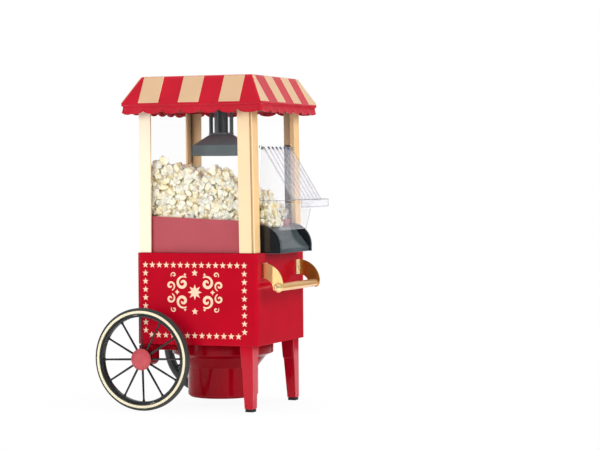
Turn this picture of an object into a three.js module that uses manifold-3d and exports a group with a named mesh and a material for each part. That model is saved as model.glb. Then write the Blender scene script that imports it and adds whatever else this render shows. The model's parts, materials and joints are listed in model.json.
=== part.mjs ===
// A tabletop hot-air popcorn cart: a red body box on two spoked wheels and two legs,
// a glazed cabin with a hanging kettle hood, and a striped hip canopy with a scalloped edge.
// Millimetres. +Z is up, +X points to the chute end, -Y to the side that carries the sign.

import * as THREE from "three";
import { mergeVertices } from "three/addons/utils/BufferGeometryUtils.js";
import Module from "manifold-3d";

const wasm = await Module();
wasm.setup();

// ---------------------------------------------------------------- driving dimensions

// Clearances and facets
const gap = 0.3; // between pieces that seat on each other
const pinClearance = 0.3; // round a pin that turns in its hole
const through = 1; // how far a cutter runs past the faces it cuts
const roundSteps = 28;
const insideSteps = 20;
const smallSteps = 12;
const tinySteps = 8;
const domeSteps = 4; // rings in a domed end
const weld = 0.01; // overlap that joins two stacked halves of one piece

// Body box
const bodyLength = 152.6;
const bodyWidth = 149;
const bodyBottom = 76.3;
const bodyHeight = 107.2;
const bodyWall = 2.4;
const bodyCorner = 4;
const deckThickness = 3;
const bottomPlateThickness = 3;
const plateLedge = 2; // how far the bottom plate reaches in over the housing's wall
const machineX = 0.5; // the upright axis of motor, fan, chamber and kettle

// Motor housing under the body
const collarRadius = 60.4;
const collarHeight = 13.4;
const bevelRadius = 52;
const bevelHeight = 4;
const coneHeight = 12.6;
const canRadius = 42;
const canHeight = 36;
const canEdge = 3;
const housingWall = 2.2;
const intakeSlots = 12;
const intakeInner = 12;
const intakeOuter = 32;
const intakeWidth = 3;

// Motor and fan
const motorRadius = 17;
const motorHeight = 32;
const motorFlange = 20.5;
const motorFlangeThickness = 2;
const motorNose = 8.5; // radius of the boss at each end of the motor
const motorNoseHeight = 3;
const motorChamfer = 1.5;
const shaftRecess = 4; // from the motor's foot to its bore
const mountThickness = 2.2;
const mountHoles = 6;
const mountHoleRadius = 6.5;
const mountHoleCircle = 29;
const shaftRadius = 2;
const fanRadius = 50;
const fanDisc = 1.6;
const fanHeight = 9;
const fanHub = 8;
const fanBlades = 8;
const fanBladeRoot = 7;
const fanBladeSweep = 0.85; // radians of arc in each blade
const fanBladeThickness = 1.2;
const fanLift = 10; // from the motor's flange to the fan's disc

// Air duct, heater and popping chamber
const ductRadius = 43;
const ductWall = 1.6;
const ductFlange = 61.5;
const ductFlangeRim = 4;
const ductFlangeThickness = 2;
const ductCone = 16;
const heaterLift = 11.7; // from the body's foot to the heater's former
const formerRadius = 20;
const formerWall = 1.2;
const formerHeight = 24;
const formerArms = 3;
const formerArmWidth = 5;
const formerArmThickness = 1.5;
const formerRim = 1;
const wireRadius = 1.1;
const wireClearance = 1.1; // between the wire and its former
const coilTurns = 3;
const coilSteps = 10; // facets in each turn
const coilMargin = 3; // between the coil's ends and the former's
const chamberRadius = 36;
const chamberWall = 1.2;
const chamberDepth = 60;
const chamberFlange = 42;
const chamberFlangeThickness = 1.6;
const chamberDome = 7;
const chamberEdge = 2;
const chamberSlots = 10;
const slotWidth = 2.6;
const slotLength = 13;
const slotTilt = 40; // degrees
const slotLift = 12;
const slotReach = 3; // how far a slot's cutter runs past the wall on each side

// Protection and wiring
const thermostatRadius = 8;
const thermostatLength = 7;
const thermostatHeight = 135;
const tabLength = 6;
const tabWidth = 6;
const tabThickness = 2;
const fuseRadius = 2.6;
const fuseLength = 14;
const fuseHeight = 116;
const terminalSize = [22, 11, 9];
const terminalPlace = [-56, 52];
const terminalWell = 2;
const switchLength = 21;
const switchWidth = 13;
const switchDepth = 13;
const switchBezel = 2;
const switchBezelDepth = 1.6;
const switchWall = 2;
const switchPocket = 7;
const switchPlace = [30, 112]; // across the wheel-end wall, and up
const rockerTravelGap = 0.8;
const rockerThickness = 4.6;
const rockerTaper = 1;
const rockerCrown = 1.2;
const rockerTilt = 8; // degrees
const glandRadius = 4.8;
const glandFlange = 7.2;
const glandFlangeThickness = 2;
const glandBore = 3.2;
const glandTail = 9;
const glandChamfer = 1;
const glandPlace = [-38, 96];

// Cabin
const cabinSetback = [2.5, 6]; // from the body's ends to the cabin's, at the wheels and the chute
const cabinInset = 1.3; // from each side of the body to the cabin's
const cabinHeight = 166.5;
const cabinLean = [0.7, 2.3]; // how far each end wall leans in at its top
const wheelPostWidth = 15;
const chutePostWidth = 16.4;
const chutePostReach = 3.3; // how far the chute-end posts stand out past the cabin's end
const postWall = 2.6;
const postBead = 1.6; // the ridge at a chute-end post's outer corner
const postGroove = 1.1;
const postGrooveWidth = 2.3;
const paneThickness = 1.6;
const binWall = 1.6;
const binFloor = 1.5;
const binRimLeft = 43.2; // the bin's rim above the deck at the wheel end
const binRimRight = 36.8;
const binThreshold = 26; // height of the bin's wall at the chute
const mouthWidth = 82;
const mouthSill = 29;
const mouthTop = 116.5;

// Roof frame and canopy
const frameThickness = 4;
const frameCorner = 3;
const frameLip = 6.4;
const frameLipWall = 2;
const frameWindow = 36; // each of the four openings in the roof frame
const frameWindowPlace = 54; // from the machine's axis to a window's middle, both ways
const eaveOverhang = 15; // from each side of the body to the eave
const eaveLift = 7; // from the cabin's top to the eave
const canopyRise = 32.7;
const canopyRun = 19; // how far each slope leans in
const canopyWall = 2;
const canopyTopThickness = 3.4;
const valanceDepth = 11.7;
const scallops = 7;
const scallopDrop = 3.8;
const seatInset = 14.6; // from the eave's outer face to the seat ring
const seatWall = 2;
const cupRadius = 21;
const cupDepth = 27;
const cupWall = 1.6;
const cupTaper = 1.5;
const cupEdge = 1;
const cupRim = 29.5;
const cupRimThickness = 1.6;

// Kettle
const neckRadius = 14.9;
const bellDrop = 28.3; // from the cabin's top to the bell's
const bellConeHeight = 12.6;
const bellBandHeight = 12;
const bellRadius = 34.9;
const bellWall = 1.8;
const bellRim = 1.1;
const bellRimHeight = 1.6;
const bellRimFillet = 0.8;
const feedRadius = 7.3;
const feedWall = 1.5;
const strutWidth = 5;
const strutThickness = 2.8;
const struts = 4;
const hangerFlange = 24;
const hangerFlangeThickness = 2.2;
const hangerRing = 2.4;

// Chute
const chuteWidth = 100;
const chuteCheek = 2.6;
const chuteRadius = 26;
const chuteRise = 6.4; // centre of the cheek's arc above the deck
const slideShoulder = 3.1; // from the cabin's end to where the slide starts to fall
const slideFoot = 23.1; // from the cabin's end to the slide's foot
const slideWall = 2.4;
const chuteLipDrop = 1.3;

// Hood and outlet flap
const hingeReach = 0.7; // from the cabin's end to the hood's hinge
const hingeLift = 6.2; // from the mouth's top to the hinge
const hoodWidth = 86;
const hoodReach = 39;
const hoodDrop = 63;
const hoodWall = 1.6;
const hoodLedge = 10.6;
const hoodLip = 7.5;
const hoodRibs = 11;
const ribWidth = 1.1;
const ribHeight = 0.9;
const ribRoot = 0.6; // how deep a rib's root sits in the panel
const hingeBarrel = 3;
const hingeOverhang = 3; // how far the barrel runs past each cheek
const hingePin = 1.5;
const hingePinEnd = 1; // how far the pin shows past each lug
const lugThickness = 3;
const lugRadius = 3.4;
const flapReach = 24.5; // from the hood's hinge to the flap's pivot
const flapDrop = 4.9; // from the hood's foot to the flap's pivot
const flapLug = 3.6;
const flapPin = 1.2;
const flapPinEnd = 0.6; // how far the pin shows past each cheek
const flapBarrel = 2.1;
const flapThickness = 1.3;
const flapElbow = [2.9, -5.4]; // from the pivot
const flapToe = [-3.3, -29.2];

// Handle
const handleSpan = 116; // over the two arms
const armThickness = 2;
const armRadius = 26;
const armDrop = 37.5; // from the deck to the centre of the arms' arc
const armInnerRadius = 13.3;
const armInnerDrop = 5;
const barDrop = 2; // from the arc's centre down to the bar
const barOffset = 20.2;
const barRadius = 4.25;
const barEyeRadius = 5;
const tenonRadius = 2.4;
const tenonReach = 3; // how far the tenon runs past each arm
const flangeWidth = 12;
const flangeThickness = 1.6;
const barEndRadius = 5;
const barEndBase = 4.6;
const barEndSkirt = 1.4;

// Legs and feet
const legTop = [16, 18];
const legBottom = [11.7, 11.7];
const legSetback = 6.7; // from the body's end to a leg's upright outer edge
const legInset = 2.5; // and from the body's side
const legStep = 52;
const legStepDepth = 0.7;
const footHeight = 3.6;
const footInset = 0.6;
const footCorner = 1.6;

// Wheels
const wheelRadius = 60;
const wheelSetback = 15.3; // from the body's end to the axles
const wheelOverhang = 19.5; // from each side of the body to the wheel's middle plane
const tyreWidth = 9.4;
const tyreDepth = 7.8;
const tyreShoulder = 2.6;
const bandOuter = 56.9;
const bandWidth = 3.1;
const bandDepth = 1.3;
const bandProud = 0.3;
const rimDepth = 2.3;
const rimWidth = 8.4;
const spokes = 12;
const spokeTurn = 1.72; // degrees
const spokeRadius = 1.25;
const spokeTip = 1.06;
const spokeSides = 6;
const hubRadius = 9.5;
const hubFront = 2.2;
const hubBack = 8.5;
const capRadius = 12.6;
const capThickness = 1.6;
const capDome = 4.6;
const axleRadius = 3;
const axleHead = 5;
const axleHeadThickness = 1.4;

// Axle carrier under the body
const carrierLength = 46;
const carrierShift = 10; // from the axles to the beam's middle
const carrierHeight = 6.7;
const carrierInset = 4.5;
const lugWidth = 17;
const lugDepth = 20;

// ---------------------------------------------------------------- values that follow

const bodyTop = bodyBottom + bodyHeight;
const innerLength = bodyLength - 2 * bodyWall;
const innerWidth = bodyWidth - 2 * bodyWall;
const innerCorner = bodyCorner - bodyWall;
const cabinLeft = -bodyLength / 2 + cabinSetback[0];
const cabinRight = bodyLength / 2 - cabinSetback[1];
const cabinWidth = bodyWidth - 2 * cabinInset;
const cabinBottom = bodyTop + gap;
const cabinTop = cabinBottom + cabinHeight;
const cabinLength = cabinRight - cabinLeft;
const cabinX = (cabinLeft + cabinRight) / 2;
const paneInset = postWall + gap;
const binInset = paneInset + paneThickness + gap;
const housingTop = bodyBottom - gap;
const collarBottom = housingTop - collarHeight;
const coneTop = collarBottom - bevelHeight;
const coneBottom = coneTop - coneHeight;
const housingBottom = coneBottom - canHeight;
const mountBottom = coneBottom + housingWall;
const mountTop = mountBottom + mountThickness;
const motorFlangeBottom = mountTop + gap;
const motorTop = motorFlangeBottom + motorFlangeThickness;
const fanBottom = motorTop + fanLift;
const plateTop = bodyBottom + bottomPlateThickness;
const deckBottom = bodyTop - deckThickness;
const frameBottom = cabinTop + gap;
const frameTop = frameBottom + frameThickness;
const heaterFloor = bodyBottom + heaterLift;
const formerTop = heaterFloor + formerHeight;
const eaveSize = bodyWidth + 2 * eaveOverhang;
const topSize = eaveSize - 2 * canopyRun;
const eaveHeight = cabinTop + eaveLift;
const totalHeight = eaveHeight + canopyRise;
const valanceBottom = eaveHeight - valanceDepth;
const bellTop = cabinTop - bellDrop;
const bellShoulder = bellTop - bellConeHeight;
const bellBottom = bellShoulder - bellBandHeight;
const hingeX = cabinRight + hingeReach;
const hingeZ = cabinBottom + mouthTop + hingeLift;
const hoodFoot = hingeZ - hoodDrop;
const flapPivot = [hingeX + flapReach, hoodFoot - flapDrop];
const bodyFace = bodyLength / 2 + gap; // where a piece that seats on the chute-end wall starts
const armHeight = bodyTop - armDrop;
const barX = bodyFace + barOffset;
const barZ = armHeight - barDrop;
const legCorner = [bodyLength / 2 - legSetback, legInset - bodyWidth / 2];
const wheelX = wheelSetback - bodyLength / 2;
const wheelZ = wheelRadius;
const wheelTrack = bodyWidth + 2 * wheelOverhang; // between the two wheels' middle planes
const rimOuter = wheelRadius - tyreDepth - gap;
const rimInner = rimOuter - rimDepth;

// ---------------------------------------------------------------- shaping helpers

const X = new THREE.Vector3(1, 0, 0);
const Y = new THREE.Vector3(0, 1, 0);
const Z = new THREE.Vector3(0, 0, 1);

// A closed geometry as a solid that can be joined and cut.
function solid(geometry) {
  const bare = geometry.clone();
  bare.deleteAttribute("normal");
  bare.deleteAttribute("uv");
  const welded = mergeVertices(bare, 1e-4);
  const vertProperties = new Float32Array(welded.attributes.position.array);
  const triVerts = new Uint32Array(welded.index.array);
  return new wasm.Manifold(new wasm.Mesh({ numProp: 3, vertProperties, triVerts }));
}

function join(...solids) {
  return solids.reduce((all, next) => all.add(next));
}

function cut(body, ...cutters) {
  return cutters.reduce((rest, cutter) => rest.subtract(cutter), body);
}

// A solid turned back into a geometry.
function surface(body) {
  const mesh = body.getMesh();
  const geometry = new THREE.BufferGeometry();
  geometry.setAttribute("position", new THREE.BufferAttribute(mesh.vertProperties, 3));
  geometry.setIndex(new THREE.BufferAttribute(mesh.triVerts, 1));
  geometry.computeVertexNormals();
  return geometry;
}

function rectangle(xLow, yLow, xHigh, yHigh) {
  const shape = new THREE.Shape();
  shape.moveTo(xLow, yLow);
  shape.lineTo(xHigh, yLow);
  shape.lineTo(xHigh, yHigh);
  shape.lineTo(xLow, yHigh);
  return shape;
}

function outline(points) {
  return new THREE.Shape(points.map(([x, y]) => new THREE.Vector2(x, y)));
}

function roundedRectangle(length, width, radius, centreX = 0) {
  const x = length / 2 - radius;
  const y = width / 2 - radius;
  const quarter = Math.PI / 2;
  const shape = new THREE.Shape();
  shape.absarc(centreX + x, y, radius, 0, quarter);
  shape.absarc(centreX - x, y, radius, quarter, 2 * quarter);
  shape.absarc(centreX - x, -y, radius, 2 * quarter, 3 * quarter);
  shape.absarc(centreX + x, -y, radius, 3 * quarter, 4 * quarter);
  return shape;
}

function prism(shape, depth, curveSegments) {
  return new THREE.ExtrudeGeometry(shape, { depth, bevelEnabled: false, curveSegments });
}

// A plan outline (x, y) raised from one height to another.
function upright(shape, low, high, curveSegments = 4) {
  return solid(prism(shape, high - low, curveSegments).translate(0, 0, low));
}

// A side outline (x, z) drawn out along Y.
function across(shape, low, high, curveSegments = 8) {
  const turn = new THREE.Matrix4().makeBasis(X, Z, Y.clone().negate());
  return solid(prism(shape, high - low, curveSegments).applyMatrix4(turn).translate(0, high, 0));
}

// An end outline (y, z) drawn out along X.
function lengthwise(shape, low, high, curveSegments = 8) {
  const turn = new THREE.Matrix4().makeBasis(Y, Z, X);
  return solid(prism(shape, high - low, curveSegments).applyMatrix4(turn).translate(low, 0, 0));
}

function block(xLow, yLow, zLow, xHigh, yHigh, zHigh) {
  return upright(rectangle(xLow, yLow, xHigh, yHigh), zLow, zHigh);
}

// A profile of [radius, height] points turned about the Z axis.
function revolved(profile, steps = roundSteps) {
  const points = profile.map(([r, z]) => new THREE.Vector2(r, z));
  if (points[0].x > 0) points.push(points[0].clone());
  if (THREE.ShapeUtils.area(points) < 0) points.reverse();
  return new THREE.LatheGeometry(points, steps).rotateX(Math.PI / 2);
}

function turned(profile, steps = roundSteps) {
  return solid(revolved(profile, steps));
}

function rod(radius, low, high, x = 0, y = 0, steps = smallSteps) {
  const bar = new THREE.CylinderGeometry(radius, radius, high - low, steps);
  return solid(bar.rotateX(Math.PI / 2).translate(x, y, (low + high) / 2));
}

// A hole cutter on the machine's axis, facetted like the pieces turned round it.
function machineHole(radius, low, high, steps = insideSteps) {
  return rod(radius, low - through, high + through, machineX, 0, steps);
}

function rodAcross(radius, low, high, x, z, steps = smallSteps) {
  const bar = new THREE.CylinderGeometry(radius, radius, high - low, steps);
  return solid(bar.translate(x, (low + high) / 2, z));
}

function rodLengthwise(radius, low, high, y, z, steps = smallSteps) {
  const bar = new THREE.CylinderGeometry(radius, radius, high - low, steps);
  return solid(bar.rotateZ(Math.PI / 2).translate((low + high) / 2, y, z));
}

// The outline of a domed end: from its full radius at one height to the axis.
function domeOutline(radius, low, rise) {
  const points = [];
  for (let i = 0; i < domeSteps; i += 1) {
    const angle = (i / domeSteps) * (Math.PI / 2);
    points.push([radius * Math.cos(angle), low + rise * Math.sin(angle)]);
  }
  return [...points, [0, low + rise]];
}

// Copies of a solid spaced evenly round an upright axis.
function ringOf(count, body, x = 0, start = 0) {
  const copies = [];
  for (let i = 0; i < count; i += 1) {
    const angle = start + (360 * i) / count;
    copies.push(body.translate([-x, 0, 0]).rotate([0, 0, angle]).translate([x, 0, 0]));
  }
  return copies;
}

// A solid between two outlines of equally many points, one above the other.
function loft(lowPoints, low, highPoints, high) {
  const count = lowPoints.length;
  const position = [];
  for (const [x, y] of lowPoints) position.push(x, y, low);
  for (const [x, y] of highPoints) position.push(x, y, high);
  const index = [];
  const flat = lowPoints.map(([x, y]) => new THREE.Vector2(x, y));
  for (const [a, b, c] of THREE.ShapeUtils.triangulateShape(flat, [])) {
    index.push(a, c, b);
    index.push(a + count, b + count, c + count);
  }
  for (let i = 0; i < count; i += 1) {
    const next = (i + 1) % count;
    index.push(i, next, next + count);
    index.push(i, next + count, i + count);
  }
  const geometry = new THREE.BufferGeometry();
  geometry.setAttribute("position", new THREE.Float32BufferAttribute(position, 3));
  geometry.setIndex(index);
  return solid(geometry);
}

function square(size) {
  const half = size / 2;
  return [[-half, -half], [half, -half], [half, half], [-half, half]];
}

// The cabin narrows a little towards its top: where a point of its plan stands at a height.
function leanX(x, z) {
  const share = (z - cabinBottom) / cabinHeight;
  const lean = x < cabinX ? cabinLean[0] : cabinLean[1];
  return x - ((x - cabinX) / (cabinLength / 2)) * lean * share;
}

function leaned(body) {
  const geometry = surface(body);
  const points = geometry.attributes.position;
  for (let i = 0; i < points.count; i += 1) {
    points.setX(i, leanX(points.getX(i), points.getZ(i)));
  }
  return solid(geometry);
}

// ---------------------------------------------------------------- finishes

function finish(color, roughness, metalness = 0, opacity = 1) {
  return new THREE.MeshStandardMaterial({
    color, roughness, metalness, opacity, transparent: opacity < 1,
  });
}

const red = () => finish(0xc80019, 0.22);
const gold = () => finish(0xc8964a, 0.3, 0.8);
const cream = () => finish(0xfae1b9, 0.45);
const black = () => finish(0x2a2e31, 0.35);
const rubber = () => finish(0x26282a, 0.7);
const clear = () => finish(0xf4f6f8, 0.08, 0, 0.3);
const steel = () => finish(0xb8bcc0, 0.35, 0.9);
const aluminium = () => finish(0xd0d3d6, 0.4, 0.9);

const model = new THREE.Group();

function add(name, body, material) {
  const mesh = new THREE.Mesh(surface(body), material);
  mesh.name = name;
  model.add(mesh);
  return mesh;
}

// ---------------------------------------------------------------- body box

// Four walls and a deck in one moulding, open below, with the chamber's mouth in the deck.
function bodyShell() {
  const outside = upright(roundedRectangle(bodyLength, bodyWidth, bodyCorner), bodyBottom, bodyTop);
  const inner = roundedRectangle(innerLength, innerWidth, innerCorner);
  const inside = upright(inner, bodyBottom - through, deckBottom);
  const mouth = machineHole(chamberRadius + gap, deckBottom, bodyTop);
  const wallOut = -bodyLength / 2 - through;
  const wallIn = -innerLength / 2 + through;
  const [switchY, switchZ] = switchPlace;
  const halfLength = switchLength / 2 + gap;
  const halfWidth = switchWidth / 2 + gap;
  const switchHole = block(
    wallOut, switchY - halfLength, switchZ - halfWidth, wallIn, switchY + halfLength, switchZ + halfWidth,
  );
  const [glandY, glandZ] = glandPlace;
  const glandHole = rodLengthwise(glandRadius + gap, wallOut, wallIn, glandY, glandZ);
  return cut(outside, inside, mouth, switchHole, glandHole);
}

// The plate that closes the body below and carries the housing, the legs and the axle carrier.
function bottomPlate() {
  const length = innerLength - 2 * gap;
  const width = innerWidth - 2 * gap;
  const plate = upright(roundedRectangle(length, width, innerCorner), bodyBottom, plateTop);
  const throat = collarRadius - housingWall - plateLedge;
  return cut(plate, machineHole(throat, bodyBottom, plateTop));
}

// ---------------------------------------------------------------- motor housing and its contents

// Collar, bevel, cone and can in one turned shell, with radial intake slots in its floor.
function motorHousing() {
  const w = housingWall;
  const profile = [
    [0, housingBottom],
    [canRadius - canEdge, housingBottom],
    [canRadius, housingBottom + canEdge],
    [canRadius, coneBottom],
    [bevelRadius, coneTop],
    [collarRadius, collarBottom],
    [collarRadius, housingTop],
    [collarRadius - w, housingTop],
    [collarRadius - w, collarBottom + w / 2],
    [bevelRadius - w / 2, coneTop + w],
    [canRadius - w, coneBottom + w / 2],
    [canRadius - w, housingBottom + canEdge + w / 2],
    [canRadius - canEdge - w / 2, housingBottom + w],
    [0, housingBottom + w],
  ];
  const shell = turned(profile).translate([machineX, 0, 0]);
  const slot = block(
    machineX + intakeInner, -intakeWidth / 2, housingBottom - through,
    machineX + intakeOuter, intakeWidth / 2, housingBottom + w + through,
  );
  return cut(shell, ...ringOf(intakeSlots, slot, machineX));
}

// A pierced plate that sits on the cone's inner ledge and holds the motor by its flange.
function motorMount() {
  const radius = canRadius - housingWall - gap;
  const plate = rod(radius, mountBottom, mountTop, machineX, 0, insideSteps);
  const centre = machineHole(motorRadius + gap, mountBottom, mountTop);
  const x = machineX + mountHoleCircle;
  const hole = rod(mountHoleRadius, mountBottom - through, mountTop + through, x, 0, tinySteps);
  return cut(plate, centre, ...ringOf(mountHoles, hole, machineX));
}

function fanMotor() {
  const low = motorFlangeBottom - motorHeight;
  const shoulder = low + motorNoseHeight;
  const high = motorTop + motorNoseHeight;
  const profile = [
    [0, low],
    [motorNose, low],
    [motorNose, shoulder],
    [motorRadius - motorChamfer, shoulder],
    [motorRadius, shoulder + motorChamfer],
    [motorRadius, motorFlangeBottom],
    [motorFlange, motorFlangeBottom],
    [motorFlange, motorTop],
    [motorNose, motorTop],
    [motorNose, high],
    [0, high],
  ];
  const body = turned(profile, insideSteps).translate([machineX, 0, 0]);
  return cut(body, rod(shaftRadius + gap, low + shaftRecess, high + through, machineX));
}

function motorShaft() {
  const low = motorFlangeBottom - motorHeight / 2;
  return rod(shaftRadius, low, fanBottom + fanHeight + through, machineX);
}

// One backward-curved blade, standing on the fan's disc.
function fanBlade() {
  const halfSweep = fanBladeSweep / 2;
  const radius = (fanRadius - fanBladeRoot) / (2 * Math.sin(halfSweep));
  const middle = (fanRadius + fanBladeRoot) / 2;
  const centreY = radius * Math.cos(halfSweep);
  const down = -Math.PI / 2;
  const inside = radius - fanBladeThickness;
  const shape = new THREE.Shape();
  shape.absarc(middle, centreY, radius, down - halfSweep, down + halfSweep, false);
  shape.absarc(middle, centreY, inside, down + halfSweep, down - halfSweep, true);
  return upright(shape, fanBottom + fanDisc / 2, fanBottom + fanHeight, 2);
}

// A centrifugal impeller: a disc, a hub and a ring of curved blades.
function fanImpeller() {
  const disc = rod(fanRadius, fanBottom, fanBottom + fanDisc, 0, 0, insideSteps);
  const hub = rod(fanHub, fanBottom, fanBottom + fanHeight);
  const bore = rod(shaftRadius + gap, fanBottom - through, fanBottom + fanHeight + through);
  const rotor = join(disc, hub, ...ringOf(fanBlades, fanBlade()));
  return cut(rotor, bore).translate([machineX, 0, 0]);
}

// ---------------------------------------------------------------- air duct, heater and chamber

// Leads the fan's air from the bottom plate up round the chamber.
function airDuct() {
  const foot = plateTop + gap;
  const shoulder = foot + ductFlangeThickness + ductCone;
  const inner = ductRadius - ductWall;
  const wide = ductFlange - ductFlangeRim;
  const profile = [
    [wide - ductWall, foot],
    [ductFlange, foot],
    [ductFlange, foot + ductFlangeThickness],
    [wide, foot + ductFlangeThickness],
    [ductRadius, shoulder],
    [ductRadius, deckBottom - gap],
    [inner, deckBottom - gap],
    [inner, shoulder],
    [wide - ductWall, foot + ductFlangeThickness],
  ];
  return turned(profile, insideSteps).translate([machineX, 0, 0]);
}

// The mica tube that carries the heating wire, on arms that reach the duct's wall.
function heaterFormer() {
  const bore = formerRadius - formerWall;
  const armTop = formerTop + gap + formerArmThickness;
  const profile = [
    [bore, heaterFloor],
    [formerRadius, heaterFloor],
    [formerRadius, formerTop],
    [formerRadius + formerRim, formerTop],
    [formerRadius + formerRim, armTop],
    [bore, armTop],
  ];
  const reach = (ductRadius - ductWall) * Math.cos(Math.PI / insideSteps) - gap;
  const half = formerArmWidth / 2;
  const arm = block(formerRadius, -half, formerTop + gap, reach, half, armTop);
  const body = join(turned(profile, insideSteps), ...ringOf(formerArms, arm));
  return body.translate([machineX, 0, 0]);
}

class Helix extends THREE.Curve {
  constructor(radius, low, high, turns) {
    super();
    Object.assign(this, { radius, low, high, turns });
  }
  getPoint(t, target = new THREE.Vector3()) {
    const angle = 2 * Math.PI * this.turns * t;
    const height = this.low + (this.high - this.low) * t;
    return target.set(this.radius * Math.cos(angle), this.radius * Math.sin(angle), height);
  }
}

// The heating wire, wound round the former.
function heaterCoil() {
  const wire = new THREE.Shape();
  wire.absarc(0, 0, wireRadius, 0, 2 * Math.PI);
  const radius = formerRadius + wireClearance + wireRadius;
  const path = new Helix(radius, heaterFloor + coilMargin, formerTop - coilMargin, coilTurns);
  const coil = new THREE.ExtrudeGeometry(wire, {
    steps: coilTurns * coilSteps, extrudePath: path, curveSegments: 3, bevelEnabled: false,
  });
  return solid(coil).translate([machineX, 0, 0]);
}

// The cup the corn pops in: a domed floor and a ring of slanted slots that swirl the hot air.
function poppingChamber() {
  const w = chamberWall;
  const e = chamberEdge;
  const top = bodyTop + gap;
  const low = top - chamberDepth;
  const r = chamberRadius;
  const inner = r - w;
  const rim = top + chamberFlangeThickness;
  const profile = [
    [0, low + chamberDome],
    [r - e, low],
    [r, low + e],
    [r, top],
    [chamberFlange, top],
    [chamberFlange, rim],
    [inner, rim],
    [inner, low + e + w],
    [r - e, low + w],
    [0, low + chamberDome + w],
  ];
  const long = slotLength / 2;
  const wide = slotWidth / 2;
  const slot = block(inner - slotReach, -wide, -long, r + slotReach, wide, long)
    .rotate([slotTilt, 0, 0])
    .translate([0, 0, low + slotLift]);
  const body = cut(turned(profile, insideSteps), ...ringOf(chamberSlots, slot));
  return body.translate([machineX, 0, 0]);
}

// ---------------------------------------------------------------- protection, switch and wiring

function thermostat() {
  const near = machineX + ductRadius + gap;
  const far = near + thermostatLength;
  const z = thermostatHeight;
  const can = rodLengthwise(thermostatRadius, near, far, 0, z);
  const tab = block(
    far - through, -tabWidth / 2, z - tabThickness / 2,
    far + tabLength, tabWidth / 2, z + tabThickness / 2,
  );
  return join(can, tab);
}

function thermalFuse() {
  const x = machineX - ductRadius - gap - fuseRadius;
  return rod(fuseRadius, fuseHeight, fuseHeight + fuseLength, x);
}

function terminalBlock() {
  const [length, width, height] = terminalSize;
  const [x, y] = terminalPlace;
  const low = plateTop + gap;
  const body = block(x - length / 2, y - width / 2, low, x + length / 2, y + width / 2, low + height);
  const pitch = length / 3;
  const wells = [-pitch, 0, pitch].map((dx) => (
    rod(terminalWell, low + height / 2, low + height + through, x + dx, y)
  ));
  return cut(body, ...wells);
}

// The rocker switch's case: a bezel outside the wall and a pocket that the rocker tips in.
function switchCase() {
  const wall = -bodyLength / 2;
  const front = wall - gap - switchBezelDepth;
  const boxed = (xLow, grow, xHigh) => {
    const [y, z] = switchPlace;
    const long = switchLength / 2 + grow;
    const wide = switchWidth / 2 + grow;
    return block(xLow, y - long, z - wide, xHigh, y + long, z + wide);
  };
  const bezel = boxed(front, switchBezel, wall - gap);
  const body = boxed(front + weld, 0, wall + switchDepth);
  const pocket = boxed(front - through, -switchWall, wall + switchPocket);
  return cut(join(bezel, body), pocket);
}

function switchRocker() {
  const wall = -bodyLength / 2 - gap - switchBezelDepth;
  const [y, z] = switchPlace;
  const half = switchLength / 2 - switchWall - rockerTravelGap;
  const halfWidth = switchWidth / 2 - switchWall - gap;
  const shape = new THREE.Shape();
  shape.moveTo(-half, 0);
  shape.quadraticCurveTo(0, rockerCrown * 2, half, 0);
  shape.lineTo(half - rockerTaper, -rockerThickness);
  shape.lineTo(-half + rockerTaper, -rockerThickness);
  const turn = new THREE.Matrix4().makeBasis(Y, X.clone().negate(), Z);
  const slab = prism(shape, 2 * halfWidth, 4).applyMatrix4(turn).translate(0, 0, -halfWidth);
  return solid(slab).rotate([0, 0, rockerTilt]).translate([wall, y, z]);
}

// The bush that the supply lead would pass: flange outside, tapered tail inside.
function cordGland() {
  const wall = -bodyLength / 2;
  const [y, z] = glandPlace;
  const profile = [
    [glandBore, -glandFlangeThickness - gap],
    [glandFlange - glandChamfer, -glandFlangeThickness - gap],
    [glandFlange, glandChamfer - glandFlangeThickness - gap],
    [glandFlange, -gap],
    [glandRadius, -gap],
    [glandRadius, bodyWall + gap],
    [glandRadius - glandChamfer, glandTail],
    [glandBore, glandTail],
  ];
  return turned(profile, smallSteps).rotate([0, 90, 0]).translate([wall, y, z]);
}

// ---------------------------------------------------------------- cabin

// An angle section; the chute-end posts stand further out, with a groove beside their corner.
function post(xSide, ySide) {
  const atChute = xSide > 0;
  const reach = atChute ? chutePostReach : 0;
  const width = atChute ? chutePostWidth : wheelPostWidth;
  const x = (atChute ? cabinRight : cabinLeft) + xSide * reach;
  const y = (ySide * cabinWidth) / 2;
  const grooveEnd = postBead + postGrooveWidth;
  const groove = [[-postBead, 0], [-postBead, -postGroove], [-grooveEnd, -postGroove], [-grooveEnd, 0]];
  const points = [
    [0, 0],
    ...(atChute ? groove : []),
    [-width - reach, 0],
    [-width - reach, -postWall],
    [-postWall - reach, -postWall],
    [-postWall - reach, -width],
    [0, -width],
  ];
  const placed = points.map(([dx, dy]) => [x + xSide * dx, y + ySide * dy]);
  if (xSide * ySide > 0) placed.reverse();
  return leaned(upright(outline(placed), cabinBottom, cabinTop));
}

function sidePane(ySide) {
  const outer = cabinWidth / 2 - paneInset;
  const inner = outer - paneThickness;
  const low = ySide > 0 ? inner : -outer;
  return leaned(block(
    cabinLeft + paneInset, low, cabinBottom,
    cabinRight - paneInset, low + paneThickness, cabinTop,
  ));
}

function wheelEndPane() {
  const x = cabinLeft + paneInset;
  const half = cabinWidth / 2 - binInset;
  return leaned(block(x, -half, cabinBottom, x + paneThickness, half, cabinTop));
}

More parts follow.
